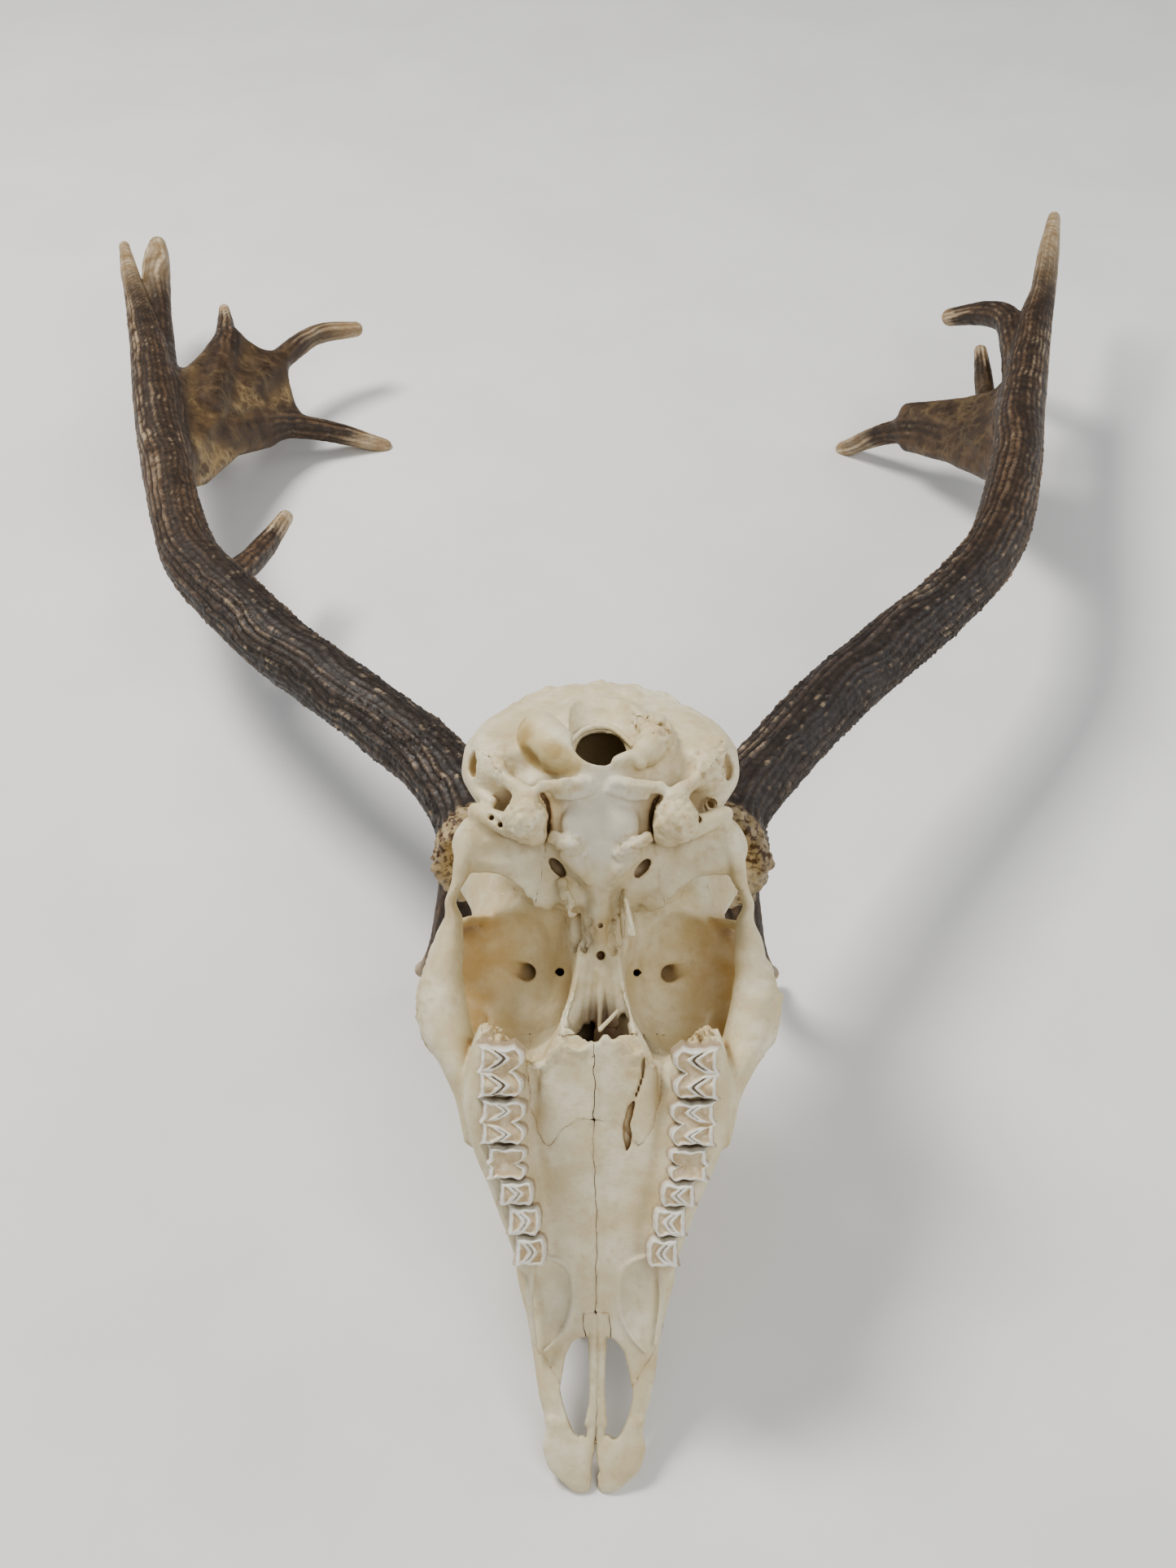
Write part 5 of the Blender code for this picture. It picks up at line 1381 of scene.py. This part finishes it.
def tooth_material():
    m = Finish("enamel_and_dentine", (0.82, 0.76, 0.6))
    streak = m.patches(2.4, 4, 0.4, 0.7)
    color = m.mix(streak, (0.80, 0.765, 0.66), (0.86, 0.84, 0.77))
    tan = m.mix(m.patches(4, 3, 0.35, 0.65), (0.52, 0.36, 0.17), (0.66, 0.54, 0.33))
    color = m.tint(color, "dentine", 0.85, tan)
    color = m.tint(color, "pit", 0.65, (0.32, 0.20, 0.10))
    color = m.tint(color, "gap", 0.75, (0.33, 0.21, 0.10))
    normal = m.bump(m.noise(0.9, 3), 0.07)
    return m.done(color, m.patches(3, 2, 0.3, 0.7, 0.2, 0.38), normal)


def antler_material():
    m = Finish("antler", (0.12, 0.075, 0.045))
    grain = m.between(m.noise(5, 6, 0.62), 0.35, 0.7)
    dark = m.mix(grain, (0.030, 0.021, 0.016), (0.095, 0.066, 0.048))
    brown = m.mix(grain, (0.052, 0.029, 0.015), (0.16, 0.095, 0.050))
    color = m.mix(m.mask("shaft"), brown, dark)
    palm = m.mix(m.patches(8, 5, 0.35, 0.68), (0.040, 0.022, 0.011), (0.095, 0.055, 0.026))
    color = m.mix(m.mask("blade"), color, palm)
    glow = m.times(m.mask("heart"), m.patches(14, 4, 0.36, 0.64, 0.15, 0.75))
    color = m.mix(glow, color, (0.25, 0.162, 0.070))
    wide = m.between(m.cells(15, "DISTANCE_TO_EDGE", m.warped(11, 16)), 0.0, 0.13, 1.0, 0.0)
    fine = m.between(m.cells(7, "DISTANCE_TO_EDGE", m.warped(6, 8)), 0.0, 0.14, 0.7, 0.0)
    net = m.times(m.math("MAXIMUM", wide, fine), m.patches(17, 3, 0.40, 0.62))
    net = m.times(net, m.between(m.mask("heart"), 0.0, 1.0, 0.25, 0.9))
    color = m.mix(m.times(net, m.mask("blade")), color, (0.37, 0.265, 0.13))
    furrow = m.times(m.mask("groove"), m.between(m.mask("blade"), 0.2, 0.8, 0.75, 0.12))
    color = m.mix(furrow, color, (0.016, 0.010, 0.006))
    # Pale crests of the ridges, with a painted highlight on the outward side of the far beam
    crest = m.times(m.mask("crest"), m.patches(7, 3, 0.40, 0.62))
    crest = m.times(crest, m.patches(48, 2, 0.40, 0.62, 0.3, 0.95))
    color = m.mix(crest, color, (0.45, 0.345, 0.225))
    ivory = m.mix(m.patches(8, 4, 0.35, 0.65), (0.40, 0.28, 0.15), (0.60, 0.49, 0.33))
    ivory = m.tint(ivory, "groove", 0.5, (0.16, 0.095, 0.045))
    color = m.mix(m.mask("tip"), color, ivory)
    knob = m.mix(m.patches(2.6, 3, 0.38, 0.54), (0.12, 0.056, 0.018), (0.60, 0.46, 0.25))
    knob = m.mix(m.times(m.mask("cream"), m.patches(3.4, 3, 0.36, 0.52)), knob, (0.72, 0.63, 0.45))
    color = m.mix(m.mask("burr"), color, knob)
    rough = m.patches(4, 3, 0.3, 0.7, 0.36, 0.6)
    normal = m.bump(m.noise(1.5, 5, 0.65), 0.3)
    normal = m.bump(m.noise(0.5, 2), 0.06, normal)
    return m.done(color, rough, normal)


# ---------------------------------------------------------------- building

BRAINCASE_NODES = ["occipital", "parietal", "sphenoid"]
# The two blurs set the reach of the painted shade in crevices and in deep places
NARROW_CELLS = 3                     # half widths of the blurs that find holes and deep places
WIDE_CELLS = 13
BONE_CRUMB = 150                     # islands of fewer vertices are left out
TOOTH_CRUMB = 300
ANTLER_CRUMB = 400


def build_skull():
    """Each bone as a piece of its own, with hairline sutures between neighbours."""
    bone = bone_material()
    skull = skull_field()
    whole = skull.d.copy()
    crowding = blurred(whole < 0, NARROW_CELLS)
    enclosure = blurred(whole < 0, WIDE_CELLS)

    def over_skull(grid, points):
        return sample(grid, skull.low, BONE_PITCH, points)

    for name, distances, corner in skull_bones(skull):
        points, quads = drop_crumbs(*skin(distances, corner, BONE_PITCH), BONE_CRUMB)
        normals = normals_of(points, quads)
        # Painted shade in crevices: the share of bone just off the surface
        crevice_shade = over_skull(crowding, points + 2.4 * normals)
        # Painted shade deep in the eye sockets and other wide recesses: the share of bone further off the
        # surface
        deep_shade = over_skull(enclosure, points + 7 * normals)
        inward = over_skull(whole, points)
        seam = 1 - step_up(inward, -1.0, -0.5)
        outward = slope_of(whole, skull.low, BONE_PITCH, points)
        in_bone = partial(sample, distances, corner, BONE_PITCH)
        points, rim = sharpened(points, normals, inward, outward, in_bone, partial(over_skull, whole))
        normals = np.where(rim[:, None], outward, normals)
        rough = bone_roughness(points)
        masks = bone_masks(points, crevice_shade, rough)
        masks["seam"] = np.maximum(seam, 0.6 * rim * step_up(points[:, 1], 110, 145))
        masks["deep_shade"] = deep_shade
        points = points + normals * (bone_relief(points, rough) * (1 - seam))[:, None]
        nodes = BRAINCASE_NODES if name == "braincase" else [name]
        piece("bone_" + name, points, quads, masks, bone, nodes)


def build_teeth():
    """The right row of cheek teeth, and the left one as its mirror image."""
    enamel = tooth_material()
    teeth = tooth_field()
    points, quads = drop_crumbs(*skin(teeth.d, teeth.low, TOOTH_PITCH), TOOTH_CRUMB)
    outside, pit, _, fresh = tooth_plan(points[:, 0], points[:, 1])
    chewing = step_up(-points[:, 2], 4.0, 6.0)
    dentine = step_up(enamel_depth(outside, pit), -0.1, 0.6) * step_up(-outside, 0.6, 1.3)
    masks = {"dentine": dentine * chewing, "pit": step_up(-pit, -0.2, 0.3) * chewing * (0.2 + fresh),
             "gap": step_up(points[:, 2], -5.5, -1.0)}
    waves = 0.16 * fbm(points, 3.4, 2, 101) * (1 - masks["pit"])
    points = points + normals_of(points, quads) * waves[:, None]
    piece("cheek_teeth_left", points * (-1, 1, 1), quads[:, ::-1], masks, enamel, [])
    piece("cheek_teeth_right", points, quads, masks, enamel, [])


def build_antlers():
    horn = antler_material()
    for side, word in ((-1, "left"), (1, "right")):
        bars = antler_bars(side)
        field = antler_field(side, bars)
        points, quads = drop_crumbs(*skin(field.d, field.low, ANTLER_PITCH), ANTLER_CRUMB)
        normals = normals_of(points, quads)
        height, masks = antler_finish(points, normals, bars, side)
        points = points + normals * height[:, None]
        tines = [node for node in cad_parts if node.endswith(word) and "tine" in node.split("_")]
        nodes = ["beam_" + word, "palm_" + word, *tines]
        piece("antler_" + word, points, quads, masks, horn, nodes)


# ---------------------------------------------------------------- floor, light and camera

def pale_floor():
    m = Finish("pale_floor", (0.8, 0.8, 0.78))
    color = m.mix(m.patches(90, 3, 0.3, 0.7), (0.80, 0.79, 0.77), (0.84, 0.83, 0.81))
    bpy.ops.mesh.primitive_plane_add(size=8)
    floor = bpy.context.object
    floor.name = "floor"
    floor.data.materials.append(m.done(color, 0.7, m.bump(m.noise(2, 3), 0.05)))


# Name, place, size, watts and color of each lamp
LAMPS = (("key_light", (-0.75, 0.35, 1.35), 0.5, 20, (1, 0.985, 0.96)),
         ("front_light", (0.5, -1.25, 1.2), 0.9, 9, (1, 0.99, 0.97)),
         ("side_light", (1.3, 0.3, 0.7), 1.0, 6, (0.95, 0.97, 1)))
LAMP_TARGET = Vector((0, -0.08, 0.06))
SKY_COLOR = (0.93, 0.95, 1, 1)
SKY_STRENGTH = 0.28
LENS = 54.06
CAMERA_PLACE = (-0.0047, 0.021, -0.834)      # in the skull's frame, but in metres
CAMERA_ROLL = 0.58


def soft_light(name, place, size, watts, color):
    lamp = bpy.data.lights.new(name, "AREA")
    lamp.size = size
    lamp.energy = watts
    lamp.color = color
    made = bpy.data.objects.new(name, lamp)
    made.location = place
    made.rotation_euler = (LAMP_TARGET - Vector(place)).to_track_quat("-Z", "Y").to_euler()
    bpy.context.scene.collection.objects.link(made)


def soft_sky():
    world = bpy.data.worlds.new("studio")
    world.use_nodes = True
    background = world.node_tree.nodes["Background"]
    background.inputs["Color"].default_value = SKY_COLOR
    background.inputs["Strength"].default_value = SKY_STRENGTH
    bpy.context.scene.world = world
    bpy.context.scene.view_settings.look = "AgX - Medium High Contrast"


def photo_camera():
    """Looks straight at the palate from 83 cm, as the photograph does."""
    data = bpy.data.cameras.new("camera")
    data.sensor_width = 36
    data.lens = LENS
    made = bpy.data.objects.new("camera", data)
    facing = Matrix.Diagonal((1, -1, -1, 1)) @ Matrix.Rotation(math.radians(CAMERA_ROLL), 4, "Z")
    made.matrix_world = RESTING @ Matrix.Translation(CAMERA_PLACE) @ facing
    bpy.context.scene.collection.objects.link(made)
    bpy.context.scene.camera = made


build_skull()
build_teeth()
build_antlers()
pale_floor()
for lamp_row in LAMPS:
    soft_light(*lamp_row)
soft_sky()
photo_camera()
